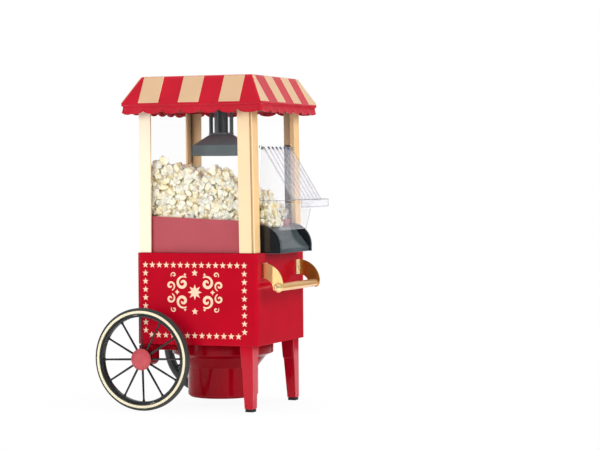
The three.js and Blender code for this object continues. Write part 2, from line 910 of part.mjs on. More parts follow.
// The chute-end pane, with the outlet's mouth and the two lugs that carry the hood.
function chuteEndPane() {
  const outer = cabinRight - paneInset;
  const half = cabinWidth / 2 - binInset;
  const pane = block(outer - paneThickness, -half, cabinBottom, outer, half, cabinTop);
  const mouth = block(
    outer - paneThickness - through, -mouthWidth / 2, cabinBottom + mouthSill,
    outer + through, mouthWidth / 2, cabinBottom + mouthTop,
  );
  const lugs = [-1, 1].map((side) => hingeLug(side));
  return join(leaned(cut(pane, mouth)), ...lugs);
}

function hingeLug(side) {
  const near = hoodWidth / 2 + hingeOverhang + gap;
  const low = side > 0 ? near : -near - lugThickness;
  const root = leanX(cabinRight - paneInset, hingeZ) - paneThickness / 2;
  const arm = new THREE.Shape();
  arm.moveTo(root, hingeZ - lugRadius);
  arm.lineTo(hingeX, hingeZ - lugRadius);
  arm.absarc(hingeX, hingeZ, lugRadius, -Math.PI / 2, Math.PI / 2, false);
  arm.lineTo(root, hingeZ + lugRadius);
  const lug = across(arm, low, low + lugThickness, 6);
  const hole = rodAcross(hingePin + gap, low - through, low + lugThickness + through, hingeX, hingeZ);
  return cut(lug, hole);
}

// The tinted bin that the popped corn collects in, with a low wall at the chute.
function popcornBin() {
  const left = cabinLeft + binInset;
  const right = cabinRight - binInset;
  const half = cabinWidth / 2 - binInset;
  const floor = cabinBottom + binFloor;
  const high = cabinBottom + binRimLeft + through;
  const outside = block(left, -half, cabinBottom, right, half, high);
  const inside = block(
    left + binWall, -half + binWall, floor,
    right - binWall, half - binWall, high + through,
  );
  const mouth = machineHole(chamberFlange + gap, cabinBottom, floor);
  const overRim = across(
    outline([
      [left - through, cabinBottom + binRimLeft],
      [right + through, cabinBottom + binRimRight],
      [right + through, high + through],
      [left - through, high + through],
    ]),
    -half - through, half + through,
  );
  const spill = block(
    right - binWall - through, -mouthWidth / 2, cabinBottom + binThreshold,
    right + through, mouthWidth / 2, high + through,
  );
  return leaned(cut(outside, inside, mouth, overRim, spill));
}

// ---------------------------------------------------------------- roof frame, canopy and cup

// The frame on the posts: a plate with four air openings and a lip that the canopy drops over.
function roofFrame() {
  const seat = eaveSize - 2 * (seatInset + seatWall + gap);
  const slab = (size, corner, low, high) => upright(roundedRectangle(size, size, corner), low, high, 2);
  const lipTop = frameTop + frameLip;
  const plate = slab(seat + 2 * seatWall, frameCorner, frameBottom, frameTop);
  const lipOut = slab(seat, frameCorner, frameTop - frameThickness / 2, lipTop);
  const lipIn = slab(seat - 2 * frameLipWall, frameCorner / 2, frameTop, lipTop + through);
  const neck = machineHole(neckRadius + gap, frameBottom, frameTop);
  const half = frameWindow / 2;
  const windows = [-1, 1].flatMap((sx) => [-1, 1].map((sy) => {
    const x = machineX + sx * frameWindowPlace;
    const y = sy * frameWindowPlace;
    return block(x - half, y - half, frameBottom - through, x + half, y + half, frameTop + through);
  }));
  return cut(join(plate, lipOut), lipIn, neck, ...windows);
}

// The scalloped outline under which the valance is cut away, over one whole side.
function scallopCutter() {
  const half = eaveSize / 2;
  const pitch = eaveSize / scallops;
  const notch = valanceBottom + scallopDrop;
  const radius = (pitch * pitch) / (8 * scallopDrop) + scallopDrop / 2;
  const sweep = Math.asin(pitch / 2 / radius);
  const down = -Math.PI / 2;
  const shape = new THREE.Shape();
  shape.moveTo(-half - through, valanceBottom - through);
  shape.lineTo(half + through, valanceBottom - through);
  shape.lineTo(half + through, notch);
  for (let i = scallops - 1; i >= 0; i -= 1) {
    const centre = -half + (i + 0.5) * pitch;
    shape.absarc(centre, valanceBottom + radius, radius, down + sweep, down - sweep, true);
  }
  shape.lineTo(-half - through, notch);
  return shape;
}

// A hip roof with a flat top and a scalloped valance, hollow, with a seat ring inside.
function canopy() {
  const w = canopyWall;
  const innerEave = eaveSize - 2 * w;
  const topInside = totalHeight - canopyTopThickness;
  const slope = (eaveSize - topSize) / 2 / (totalHeight - eaveHeight);
  const innerTop = topSize + 2 * slope * canopyTopThickness - 2 * w * Math.hypot(1, slope);
  const roof = loft(square(eaveSize), eaveHeight, square(topSize), totalHeight);
  const walls = loft(square(eaveSize), valanceBottom, square(eaveSize), eaveHeight);
  const hollow = loft(square(innerEave), eaveHeight - through / 4, square(innerTop), topInside);
  const hollowLow = loft(square(innerEave), valanceBottom - through, square(innerEave), eaveHeight);
  const outside = eaveSize / 2 + through;
  const inside = eaveSize / 2 - w;
  const edges = [[-outside, -inside], [inside, outside]].flatMap(([low, high]) => [
    across(scallopCutter(), low, high, 3),
    lengthwise(scallopCutter(), low, high, 3),
  ]);
  const shell = cut(join(walls, roof), hollow, hollowLow, ...edges);
  const cupHole = machineHole(cupRadius + gap, topInside, totalHeight);
  const cupSeat = machineHole(cupRim + gap, totalHeight - cupRimThickness - gap + through, totalHeight);
  return cut(join(shell, seatRing()), cupHole, cupSeat);
}

// The square rib inside the canopy that stands on the roof frame.
function seatRing() {
  const outer = eaveSize - 2 * seatInset;
  const inner = outer - 2 * seatWall;
  const slope = (totalHeight - eaveHeight) / ((eaveSize - topSize) / 2);
  const high = eaveHeight + slope * (seatInset - canopyWall / 2);
  const ring = loft(square(outer), frameTop + gap, square(outer), high);
  const hole = loft(square(inner), frameTop, square(inner), high + through);
  return cut(ring, hole);
}

// The measuring cup, sunk in the canopy's top with its rim flush.
function measuringCup() {
  const rimLow = totalHeight - cupRimThickness;
  const floor = totalHeight - cupDepth;
  const profile = [
    [0, floor],
    [cupRadius - cupTaper - cupEdge, floor],
    [cupRadius - cupTaper, floor + cupEdge],
    [cupRadius, rimLow],
    [cupRim, rimLow],
    [cupRim, totalHeight],
    [cupRadius - cupWall, totalHeight],
    [cupRadius - cupTaper - cupWall, floor + cupWall],
    [0, floor + cupWall],
  ];
  return turned(profile, insideSteps).translate([machineX, 0, 0]);
}

// ---------------------------------------------------------------- kettle

// The feed tube and its four straps, hung from the roof frame by a flange.
function kettleHanger() {
  const top = frameTop + gap;
  const low = bellTop + gap;
  const bore = feedRadius - feedWall;
  const ringAt = (inner, outer, from, to) => (
    turned([[inner, from], [outer, from], [outer, to], [inner, to]], insideSteps)
  );
  const flange = ringAt(bore, hangerFlange, top, top + hangerFlangeThickness);
  const tube = ringAt(bore, feedRadius, low, top + through);
  const ring = ringAt(bore, neckRadius, low, low + hangerRing);
  const sleeve = ringAt(neckRadius - strutThickness, neckRadius, low, top + through);
  const half = strutWidth / 2;
  const band = block(0, -half, low - through, neckRadius + through, half, top + 2 * through);
  const straps = join(...ringOf(struts, band)).intersect(sleeve);
  return join(flange, tube, ring, straps).translate([machineX, 0, 0]);
}

// The kettle-shaped hood that the popping corn strikes: cone, upright band and rolled rim.
function kettleBell() {
  const w = bellWall;
  const bore = feedRadius - feedWall;
  const profile = [
    [bore, bellTop - w],
    [neckRadius - w, bellTop - w],
    [bellRadius - w, bellShoulder - w / 2],
    [bellRadius - w, bellBottom],
    [bellRadius + bellRim, bellBottom],
    [bellRadius + bellRim, bellBottom + bellRimHeight],
    [bellRadius, bellBottom + bellRimHeight + bellRimFillet],
    [bellRadius, bellShoulder],
    [neckRadius, bellTop],
    [bore, bellTop],
  ];
  return turned(profile).translate([machineX, 0, 0]);
}

// ---------------------------------------------------------------- chute

// The side outline of a cheek: a quarter round on the deck, hooked over the body's edge.
function cheekOutline() {
  const back = cabinRight - paneInset + gap;
  const centreZ = cabinBottom + chuteRise;
  const lip = cabinBottom - chuteLipDrop;
  const shape = new THREE.Shape();
  shape.moveTo(back, cabinBottom);
  shape.lineTo(bodyFace, cabinBottom);
  shape.lineTo(bodyFace, lip);
  shape.lineTo(cabinRight + chuteRadius, lip);
  shape.absarc(cabinRight, centreZ, chuteRadius, 0, Math.PI / 2, false);
  shape.lineTo(back, centreZ + chuteRadius);
  return shape;
}

// The section of the slide: level behind the mouth's sill, then one steep fall to the deck.
function slideOutline() {
  const back = cabinRight - paneInset + gap;
  const high = cabinBottom + mouthSill;
  const shoulder = cabinRight + slideShoulder;
  const foot = cabinRight + slideFoot;
  const lip = cabinBottom - chuteLipDrop;
  const wallAcross = slideWall * Math.hypot(1, (foot - shoulder) / (high - cabinBottom));
  return outline([
    [back, high],
    [back, high - slideWall],
    [shoulder - slideWall / 2, high - slideWall],
    [foot - wallAcross, cabinBottom],
    [foot - wallAcross, lip],
    [foot, lip],
    [foot, cabinBottom],
    [shoulder, high],
  ]);
}

// A straight slide between two taller rounded cheeks, open underneath.
function chute() {
  const half = chuteWidth / 2;
  const cheeks = [-half, half - chuteCheek].map((y) => across(cheekOutline(), y, y + chuteCheek, 10));
  const slideHalf = half - chuteCheek / 2;
  return join(across(slideOutline(), -slideHalf, slideHalf), ...cheeks);
}

// ---------------------------------------------------------------- hood and outlet flap

// Where the hood's back edge runs, just clear of the leaning pane.
function hoodBack(z) {
  return leanX(cabinRight - paneInset, z) + gap;
}

function hoodCheek(side) {
  const half = hoodWidth / 2;
  const low = side > 0 ? half - hoodWall : -half;
  const top = hingeZ - lugRadius;
  const plate = across(
    outline([
      [hoodBack(hoodFoot), hoodFoot],
      [hingeX + hoodReach + hoodWall, hoodFoot],
      [hingeX + hoodWall, hingeZ],
      [hingeX - hoodWall / 2, hingeZ - hoodWall / 2],
      [hoodBack(top), top],
    ]),
    low, low + hoodWall,
  );
  const [x, z] = flapPivot;
  const ear = new THREE.Shape();
  ear.moveTo(x + flapLug, hoodFoot + hoodWall / 2);
  ear.lineTo(x - flapLug, hoodFoot + hoodWall / 2);
  ear.lineTo(x - flapLug, z);
  ear.absarc(x, z, flapLug, Math.PI, 2 * Math.PI, false);
  return join(plate, across(ear, low, low + hoodWall, 5));
}

// The sloping panel, its foot ledge and hanging lip, as one bent section.
function hoodFront() {
  const half = hoodWidth / 2;
  const footX = hingeX + hoodReach;
  const outerX = footX + hoodLedge;
  const w = hoodWall;
  const section = outline([
    [hingeX - w / 4, hingeZ],
    [footX - w / 2, hoodFoot],
    [outerX - w, hoodFoot],
    [outerX - w, hoodFoot - hoodLip],
    [outerX, hoodFoot - hoodLip],
    [outerX, hoodFoot + w],
    [footX + w / 2, hoodFoot + w],
    [hingeX + w, hingeZ + w / 2],
  ]);
  return across(section, -half, half);
}

// Fine ribs that run down the outside of the hood's panel.
function hoodRib(y) {
  const foot = hoodFoot + hoodWall - ribRoot / 2;
  const footX = hingeX + hoodReach + hoodWall / 2;
  const topX = hingeX + hoodWall;
  const proud = ribHeight * Math.hypot(1, hoodReach / hoodDrop);
  const section = outline([
    [topX, hingeZ],
    [topX - ribRoot, hingeZ - ribRoot],
    [footX - ribRoot, foot],
    [footX + proud, foot],
    [topX + 2 * proud, hingeZ - proud],
  ]);
  return across(section, y - ribWidth / 2, y + ribWidth / 2);
}

// The clear hood over the outlet: hinged at its top, it lifts up and away from the pane.
function hood() {
  const half = hoodWidth / 2;
  const reach = half + hingeOverhang;
  const barrel = rodAcross(hingeBarrel, -reach, reach, hingeX, hingeZ);
  const bore = rodAcross(hingePin + pinClearance, -reach - through, reach + through, hingeX, hingeZ);
  const pitch = hoodWidth / (hoodRibs + 1);
  const ribs = [];
  for (let i = 1; i <= hoodRibs; i += 1) ribs.push(hoodRib(-half + i * pitch));
  const shell = join(hoodFront(), hoodCheek(-1), hoodCheek(1), barrel, ...ribs);
  const flapHoles = rodAcross(flapPin + pinClearance, -half - through, half + through, ...flapPivot);
  return cut(shell, bore, flapHoles);
}

function hoodPin() {
  const half = hoodWidth / 2 + hingeOverhang + gap + lugThickness + hingePinEnd;
  return rodAcross(hingePin, -half, half, hingeX, hingeZ);
}

// The clear flap that hangs from the hood and closes the gap above the slide.
function outletFlap() {
  const [x, z] = flapPivot;
  const [elbowX, elbowZ] = flapElbow;
  const [toeX, toeZ] = flapToe;
  const half = hoodWidth / 2 - hoodWall - gap;
  const t = flapThickness;
  const blade = across(
    outline([
      [x - t / 2, z],
      [x + elbowX - t, z + elbowZ],
      [x + toeX - t, z + toeZ],
      [x + toeX, z + toeZ],
      [x + elbowX, z + elbowZ],
      [x + t / 2, z + t / 2],
    ]),
    -half, half,
  );
  const barrel = rodAcross(flapBarrel, -half, half, x, z);
  const stubEnd = hoodWidth / 2 + flapPinEnd;
  const stubs = rodAcross(flapPin, -stubEnd, stubEnd, x, z);
  return join(blade, barrel, stubs);
}

// ---------------------------------------------------------------- handle

// A quarter-ring arm with a foot flange against the body and an eye for the bar.
function handleArm(side) {
  const half = handleSpan / 2;
  const low = side > 0 ? half - armThickness : -half;
  const x = bodyFace;
  const z = armHeight;
  const shape = new THREE.Shape();
  shape.moveTo(x, z + armRadius);
  shape.absarc(x, z, armRadius, Math.PI / 2, 0, true);
  shape.absarc(barX, barZ, barEyeRadius, 0, -Math.PI / 2, true);
  shape.lineTo(x + armInnerRadius, z - armInnerDrop);
  shape.absarc(x, z - armInnerDrop, armInnerRadius, 0, Math.PI / 2, false);
  const plate = across(shape, low, low + armThickness, 7);
  const eye = rodAcross(tenonRadius + gap, low - through, low + armThickness + through, barX, barZ);
  const footLow = armInnerRadius - armInnerDrop;
  const inward = side > 0 ? half - flangeWidth : -half;
  const flange = block(
    x, inward, z + footLow, x + flangeThickness, inward + flangeWidth, z + armRadius,
  );
  return join(cut(plate, eye), flange);
}

// The grip bar, with a tenon through each arm.
function handleBar() {
  const inside = handleSpan / 2 - armThickness - gap;
  const outside = handleSpan / 2 + tenonReach;
  const grip = rodAcross(barRadius, -inside, inside, barX, barZ, insideSteps);
  const tenon = rodAcross(tenonRadius, -outside, outside, barX, barZ);
  return join(grip, tenon);
}

// A domed nut on the bar's tenon.
function barEnd(side) {
  const r = barEndRadius;
  const bore = tenonRadius + gap;
  const depth = tenonReach + gap;
  const dome = domeOutline(r, barEndSkirt, r);
  const nut = turned([[bore, 0], [barEndBase, 0], ...dome, [0, depth], [bore, depth]], smallSteps);
  const y = handleSpan / 2 + gap;
  return nut.rotate([side > 0 ? -90 : 90, 0, 0]).translate([barX, side * y, barZ]);
}

// ---------------------------------------------------------------- legs and feet

// The far leg and foot are the near ones seen in a mirror.
function onSide(body, side) {
  return side > 0 ? body.mirror([0, 1, 0]) : body;
}

// A square leg with an upright outer edge, tapering on its two inner sides below a shallow step.
function leg(side) {
  const [x, y] = legCorner;
  const top = bodyBottom - gap;
  const share = (top - legStep) / (top - footHeight);
  const at = (t, shrink) => {
    const length = legTop[0] + (legBottom[0] - legTop[0]) * t - shrink;
    const width = legTop[1] + (legBottom[1] - legTop[1]) * t - shrink;
    return [[x - length, y], [x, y], [x, y + width], [x - length, y + width]];
  };
  const upper = loft(at(share, 0), legStep, at(0, 0), top);
  const lower = loft(at(1, legStepDepth), footHeight, at(share, legStepDepth), legStep + weld);
  return onSide(join(upper, lower), side);
}

function foot(side) {
  const [x, y] = legCorner;
  const length = legBottom[0] - legStepDepth - footInset;
  const width = legBottom[1] - legStepDepth - footInset;
  const pad = upright(roundedRectangle(length, width, footCorner), 0, footHeight - gap);
  const inset = footInset / 2;
  return onSide(pad.translate([x - inset - length / 2, y + inset + width / 2, 0]), side);
}

// ---------------------------------------------------------------- wheels

// A turned or built wheel piece, laid over so that its outer face looks away from the body.
function onAxle(body, side) {
  const laid = body.rotate([side > 0 ? -90 : 90, 0, 0]);
  return laid.translate([wheelX, (side * wheelTrack) / 2, wheelZ]);
}

// Rim, twelve round spokes and the hub drum in one casting.
function wheel(side) {
  const half = rimWidth / 2;
  const rim = turned([
    [rimInner, -half],
    [rimOuter, -half],
    [rimOuter, half],
    [rimInner, half],
  ]);
  const reach = rimInner + rimDepth / 3;
  const blank = new THREE.CylinderGeometry(spokeTip, spokeRadius, reach - hubRadius / 2, spokeSides);
  const spoke = solid(blank.rotateZ(-Math.PI / 2).translate((reach + hubRadius / 2) / 2, 0, 0));
  const hub = rod(hubRadius, -hubBack, hubFront);
  const bore = rod(axleRadius + pinClearance, -hubBack - through, hubFront + through);
  return onAxle(cut(join(rim, hub, ...ringOf(spokes, spoke, 0, -side * spokeTurn)), bore), side);
}

function tyre(side) {
  const half = tyreWidth / 2;
  const inner = rimOuter + gap;
  const s = tyreShoulder;
  const r = wheelRadius;
  const floor = half - bandDepth;
  const bandInner = bandOuter - bandWidth;
  const profile = [
    [inner, -half],
    [r - s, -half],
    [r, -half + s],
    [r, half - s],
    [r - s / 3, half - s / 3],
    [bandOuter + gap, half],
    [bandOuter + gap, floor - gap],
    [bandInner - gap, floor - gap],
    [bandInner - gap, half],
    [inner, half],
  ];
  return onAxle(turned(profile), side);
}

// The pale ring let into the tyre's outer wall.
function tyreBand(side) {
  const half = tyreWidth / 2;
  const inner = bandOuter - bandWidth;
  const profile = [
    [inner, half - bandDepth],
    [bandOuter, half - bandDepth],
    [bandOuter, half + bandProud],
    [inner, half + bandProud],
  ];
  return onAxle(turned(profile), side);
}

function hubCap(side) {
  const low = hubFront + gap;
  const well = axleHeadThickness + 2 * gap;
  const profile = [
    [0, low + well],
    [axleHead + gap, low + well],
    [axleHead + gap, low],
    [capRadius, low],
    ...domeOutline(capRadius, low + capThickness, capDome),
  ];
  return onAxle(turned(profile, insideSteps), side);
}

function axle(side) {
  const inner = -hubBack - gap - lugDepth;
  const shank = rod(axleRadius, inner, hubFront + gap + axleHeadThickness / 2);
  const head = rod(axleHead, hubFront + gap, hubFront + gap + axleHeadThickness);
  return onAxle(join(shank, head), side);
}

// A cross beam under the wheel end, with a lug down to each axle.
function axleCarrier() {
  const half = bodyWidth / 2 - carrierInset;
  const top = bodyBottom - gap;
  const left = wheelX + carrierShift - carrierLength / 2;
  const beam = block(left, -half, top - carrierHeight, left + carrierLength, half, top);
  const outer = wheelTrack / 2 - hubBack - gap;
  const r = lugWidth / 2;
  const shape = new THREE.Shape();
  shape.moveTo(wheelX + r, top);
  shape.lineTo(wheelX - r, top);
  shape.lineTo(wheelX - r, wheelZ);
  shape.absarc(wheelX, wheelZ, r, Math.PI, 2 * Math.PI, false);
  const lugs = [-outer, outer - lugDepth].map((y) => across(shape, y, y + lugDepth, 8));
  const bore = rodAcross(axleRadius + gap, -outer - through, outer + through, wheelX, wheelZ);
  const hollow = machineHole(collarRadius + gap, top - carrierHeight, top, roundSteps);
  return cut(join(beam, ...lugs), bore, hollow);
}

// ---------------------------------------------------------------- assembly

add("body_shell", bodyShell(), red());
add("bottom_plate", bottomPlate(), red());
add("motor_housing", motorHousing(), red());
add("motor_mount", motorMount(), steel());
add("fan_motor", fanMotor(), steel());
add("motor_shaft", motorShaft(), steel());
add("fan_impeller", fanImpeller(), black());
add("air_duct", airDuct(), aluminium());
add("heater_former", heaterFormer(), finish(0xcfc7ae, 0.8));
add("heater_coil", heaterCoil(), steel());
add("popping_chamber", poppingChamber(), aluminium());
add("thermostat", thermostat(), black());
add("thermal_fuse", thermalFuse(), cream());
add("terminal_block", terminalBlock(), cream());
add("switch_case", switchCase(), black());
add("switch_rocker", switchRocker(), black());
add("cord_gland", cordGland(), black());
add("popcorn_bin", popcornBin(), finish(0xbe4b5a, 0.55, 0, 0.8));

const sides = { near: -1, far: 1 };
for (const [name, side] of Object.entries(sides)) {
  add(`post_wheel_end_${name}`, post(-1, side), cream());
  add(`post_chute_end_${name}`, post(1, side), cream());
  add(`pane_${name}`, sidePane(side), clear());
}
add("pane_wheel_end", wheelEndPane(), clear());
add("pane_chute_end", chuteEndPane(), clear());

add("roof_frame", roofFrame(), red());
add("canopy", canopy(), red());
add("measuring_cup", measuringCup(), red());
add("kettle_hanger", kettleHanger(), black());
add("kettle_bell", kettleBell(), black());

add("chute", chute(), black());
add("hood", hood(), clear());
add("hood_pin", hoodPin(), steel());
add("outlet_flap", outletFlap(), clear());

add("handle_bar", handleBar(), gold());
for (const [name, side] of Object.entries(sides)) {
  add(`handle_arm_${name}`, handleArm(side), gold());
  add(`bar_end_${name}`, barEnd(side), gold());
}

for (const [name, side] of Object.entries(sides)) {
  add(`leg_${name}`, leg(side), red());
  add(`foot_${name}`, foot(side), rubber());
}

add("axle_carrier", axleCarrier(), red());
for (const [name, side] of Object.entries(sides)) {
  add(`wheel_${name}`, wheel(side), black());
  add(`tyre_${name}`, tyre(side), rubber());
  add(`tyre_band_${name}`, tyreBand(side), cream());
  add(`hub_cap_${name}`, hubCap(side), finish(0xc8555a, 0.4));
  add(`axle_${name}`, axle(side), steel());
}

// The origin is the middle of the floor under the whole cart.
const reachLeft = wheelX - wheelRadius;
const reachRight = hingeX + hoodReach + hoodLedge;
model.position.x = -(reachLeft + reachRight) / 2;

export default model;
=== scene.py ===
# %% [markdown]
# # A tabletop popcorn cart
# This lesson dresses a small hot-air popcorn machine shaped like a fairground cart.
# The engineering model is loaded first as a fixed frame, and every visible piece is
# then made in millimetres and hung on the body of the cart that carries it.

# %% Load the frame
import json
import math

import bmesh
import bpy
import numpy as np
from mathutils import Matrix, Vector

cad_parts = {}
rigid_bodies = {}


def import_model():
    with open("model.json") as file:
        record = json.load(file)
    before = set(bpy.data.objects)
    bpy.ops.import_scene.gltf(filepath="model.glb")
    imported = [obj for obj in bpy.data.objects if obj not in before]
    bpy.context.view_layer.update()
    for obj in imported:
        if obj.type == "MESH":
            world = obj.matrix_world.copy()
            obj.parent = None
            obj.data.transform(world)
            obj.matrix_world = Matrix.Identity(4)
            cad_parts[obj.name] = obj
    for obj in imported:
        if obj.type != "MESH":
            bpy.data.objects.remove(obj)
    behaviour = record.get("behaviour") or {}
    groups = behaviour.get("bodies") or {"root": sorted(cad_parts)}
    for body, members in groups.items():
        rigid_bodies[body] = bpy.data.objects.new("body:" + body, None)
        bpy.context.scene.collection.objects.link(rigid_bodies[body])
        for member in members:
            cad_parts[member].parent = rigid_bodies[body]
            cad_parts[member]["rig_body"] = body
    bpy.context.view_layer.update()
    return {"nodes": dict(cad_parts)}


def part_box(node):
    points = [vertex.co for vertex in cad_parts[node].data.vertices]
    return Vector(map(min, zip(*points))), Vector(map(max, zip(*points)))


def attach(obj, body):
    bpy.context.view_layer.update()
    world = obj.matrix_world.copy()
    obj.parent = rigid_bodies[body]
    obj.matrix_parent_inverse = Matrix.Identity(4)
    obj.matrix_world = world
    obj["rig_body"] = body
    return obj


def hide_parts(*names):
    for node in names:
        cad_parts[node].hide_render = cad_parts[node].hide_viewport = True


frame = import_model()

MM = 0.001
nodes = frame["nodes"]

# %% [markdown]
# ## Where things are
# Each piece takes its place from the loaded frame. Two helpers give the limits and the
# middle of a node in millimetres, which are handier than metres for an object this small.


# %% Limits of a node
def limits(node):
    """(x low, x high, y low, y high, z low, z high) of a node, in millimetres."""
    low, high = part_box(node)
    return tuple(round(v / MM, 3) for pair in zip(low, high) for v in pair)


def middle(node):
    """(x, y, z) of the middle of a node's box, in millimetres."""
    box = limits(node)
    return tuple((box[i] + box[i + 1]) / 2 for i in (0, 2, 4))


axis_x = middle("kettle_bell")[0]
print("the upright machine axis stands at x =", round(axis_x, 2), "mm")

# %% [markdown]
# ## Camera
# The cart is seen from a little below its canopy and some twenty degrees round towards
# the chute, through a long lens, so its upright edges stay nearly parallel.
# It is aimed by three numbers: turn, tilt and a slight roll.

# %% Camera
CAMERA_TURN, CAMERA_TILT, CAMERA_ROLL = 21.48, 1.40, -0.39
CAMERA_PLACE = Vector((0.9773, -2.2271, 0.2732))
LENS, SENSOR = 121.914, 36
turn, tilt, roll = (math.radians(a) for a in (CAMERA_TURN, CAMERA_TILT, CAMERA_ROLL))
back = Vector((
    math.sin(turn) * math.cos(tilt), -math.cos(turn) * math.cos(tilt), math.sin(tilt)
))
right = Vector((math.cos(turn), math.sin(turn), 0))
up = back.cross(right)
lens_right = right * math.cos(roll) + up * math.sin(roll)
lens_up = up * math.cos(roll) - right * math.sin(roll)

camera = bpy.data.objects.new("camera", bpy.data.cameras.new("camera"))
bpy.context.scene.collection.objects.link(camera)
camera.data.sensor_width, camera.data.lens = SENSOR, LENS
aim = Matrix((lens_right, lens_up, back)).transposed().to_4x4()
camera.matrix_world = Matrix.Translation(CAMERA_PLACE) @ aim
bpy.context.scene.camera = camera
print("camera", round(CAMERA_PLACE.length, 2), "m away, lens", round(LENS), "mm")

# %% [markdown]
# ## Colour
# Screen colours are written as ordinary 0 to 255 values, and the shaders want linear
# light, so one small function turns the first into the second.


# %% Colour helper
def paint(red, green, blue):
    """A screen colour as the linear RGBA that the shader nodes take."""
    def linear(value):
        share = value / 255
        return share / 12.92 if share <= 0.04045 else ((share + 0.055) / 1.055) ** 2.4

    return (linear(red), linear(green), linear(blue), 1)


# %% [markdown]
# ## Node materials
# A moulded piece is never one flat colour. The pigment drifts a little, the gloss is
# uneven where hands and cloths have been, the skin has a fine grain, and the sharp
# edges are paler, partly rubbed and partly a painted highlight where they catch the light.
# One recipe makes all of these from noise in the piece's own space, and each finish on
# the cart is that recipe with its own numbers.


# %% Node helpers
def add_node(tree, kind, **settings):
    """A node of a kind, with its own settings such as the operation of a Math node."""
    node = tree.nodes.new(kind)
    for name, value in settings.items():
        setattr(node, name, value)
    return node


def noise_of(tree, scale, detail=3, stretch=(1, 1, 1)):
    """Noise in the piece's own space. Scale is in waves per metre."""
    place = add_node(tree, "ShaderNodeTexCoord")
    mapping = add_node(tree, "ShaderNodeMapping")
    mapping.inputs["Scale"].default_value = stretch
    texture = add_node(tree, "ShaderNodeTexNoise")
    texture.inputs["Scale"].default_value = scale
    texture.inputs["Detail"].default_value = detail
    tree.links.new(place.outputs["Object"], mapping.inputs["Vector"])
    tree.links.new(mapping.outputs["Vector"], texture.inputs["Vector"])
    return texture.outputs["Fac"]


def ranged(tree, value, low, high, start=0.3, end=0.7):
    """The value between start and end, spread from low to high."""
    spread = add_node(tree, "ShaderNodeMapRange")
    spread.inputs["From Min"].default_value = start
    spread.inputs["From Max"].default_value = end
    spread.inputs["To Min"].default_value = low
    spread.inputs["To Max"].default_value = high
    tree.links.new(value, spread.inputs["Value"])
    return spread.outputs["Result"]


def mixed(tree, share, first, second):
    """A colour between two, where either may be a colour or another node's output."""
    mix = add_node(tree, "ShaderNodeMix", data_type="RGBA")
    for socket, value in ((mix.inputs["A"], first), (mix.inputs["B"], second)):
        if isinstance(value, bpy.types.NodeSocket):
            tree.links.new(value, socket)
        else:
            socket.default_value = value
    tree.links.new(share, mix.inputs["Factor"])
    return mix.outputs["Result"]


def new_finish(name):
    """A fresh node material, with its tree and its surface shader."""
    material = bpy.data.materials.new(name)
    material.use_nodes = True
    return material, material.node_tree, material.node_tree.nodes["Principled BSDF"]


def roughen(tree, surface, height, strength, distance):
    """Lets a height pattern disturb the surface, distance being its depth in metres."""
    bump = add_node(tree, "ShaderNodeBump")
    bump.inputs["Strength"].default_value = strength
    bump.inputs["Distance"].default_value = distance
    tree.links.new(height, bump.inputs["Height"])
    tree.links.new(bump.outputs["Normal"], surface.inputs["Normal"])


# %% The recipe
def finish_of(name, colour, rough, drift=0.12, drift_scale=28, rough_drift=0.12, grain=0.05,
              grain_scale=700, edge_wear_and_glint=0.25, wear_and_glint_colour=None, stretch=(1, 1, 1), **shader):
    """A moulded or metal finish with drifting colour, uneven gloss, grain, and rubbed edges with
    a painted highlight.
    """
    material, tree, surface = new_finish(name)
    deep = tuple(c * (1 - drift) for c in colour[:3]) + (1,)
    pale = tuple(min(1, c * (1 + drift)) for c in colour[:3]) + (1,)
    cloud = ranged(tree, noise_of(tree, drift_scale), 0, 1)
    tint = mixed(tree, cloud, deep, pale)
    # Marked edges are painted paler, partly as rubbing and partly as a painted highlight.
    edge = add_node(tree, "ShaderNodeAttribute", attribute_name="wear_glint_mark").outputs["Fac"]
    patchy = add_node(tree, "ShaderNodeMath", operation="MULTIPLY")
    tree.links.new(ranged(tree, noise_of(tree, 120, 2), 0.35, 1), patchy.inputs[0])
    tree.links.new(ranged(tree, edge, 0, edge_wear_and_glint, 0, 1), patchy.inputs[1])
    worn_and_glinting = wear_and_glint_colour or tuple(min(1, c * 1.25 + 0.06) for c in colour[:3]) + (1,)
    shown = mixed(tree, patchy.outputs["Value"], tint, worn_and_glinting)
    tree.links.new(shown, surface.inputs["Base Color"])
    cloud = noise_of(tree, drift_scale * 1.7, 2, stretch)
    gloss = ranged(tree, cloud, rough * (1 - rough_drift), rough * (1 + rough_drift))
    tree.links.new(gloss, surface.inputs["Roughness"])
    roughen(tree, surface, noise_of(tree, grain_scale, 2, stretch), grain, 0.0004)
    for socket, value in shader.items():
        surface.inputs[socket.replace("_", " ")].default_value = value
    return material


# %% [markdown]
# ## The finishes of the cart
# The body is a very glossy red moulding and the canopy a softer satin red. The drum,
# plate and beam under the body are a darker red, painted shade. The posts are cream on
# their fronts, with painted shade in darker gold on the flanks, a warmer gold on the inner
# sides as painted light of the shaded cabin, and one post painted paler as if more
# strongly lit. The handle is gilt, with painted shade in darker bronze on the inner sides
# of its arms. Whatever gets hot or carries corn is black or slate plastic. Each finish
# keeps its roughness range well away from 0.27, where the clean-up of the picture's grain
# changes its ways and would draw blotches.

# %% Reds
PLASTIC = {"Specular_IOR_Level": 0.3}
# The body's edges are painted a strong pink, mostly a painted highlight where they catch the
# light.
body_red = finish_of("body_red", paint(184, 8, 34), 0.09, drift=0.05, grain=0.012, edge_wear_and_glint=0.9,
                     wear_and_glint_colour=paint(255, 80, 96), **PLASTIC)
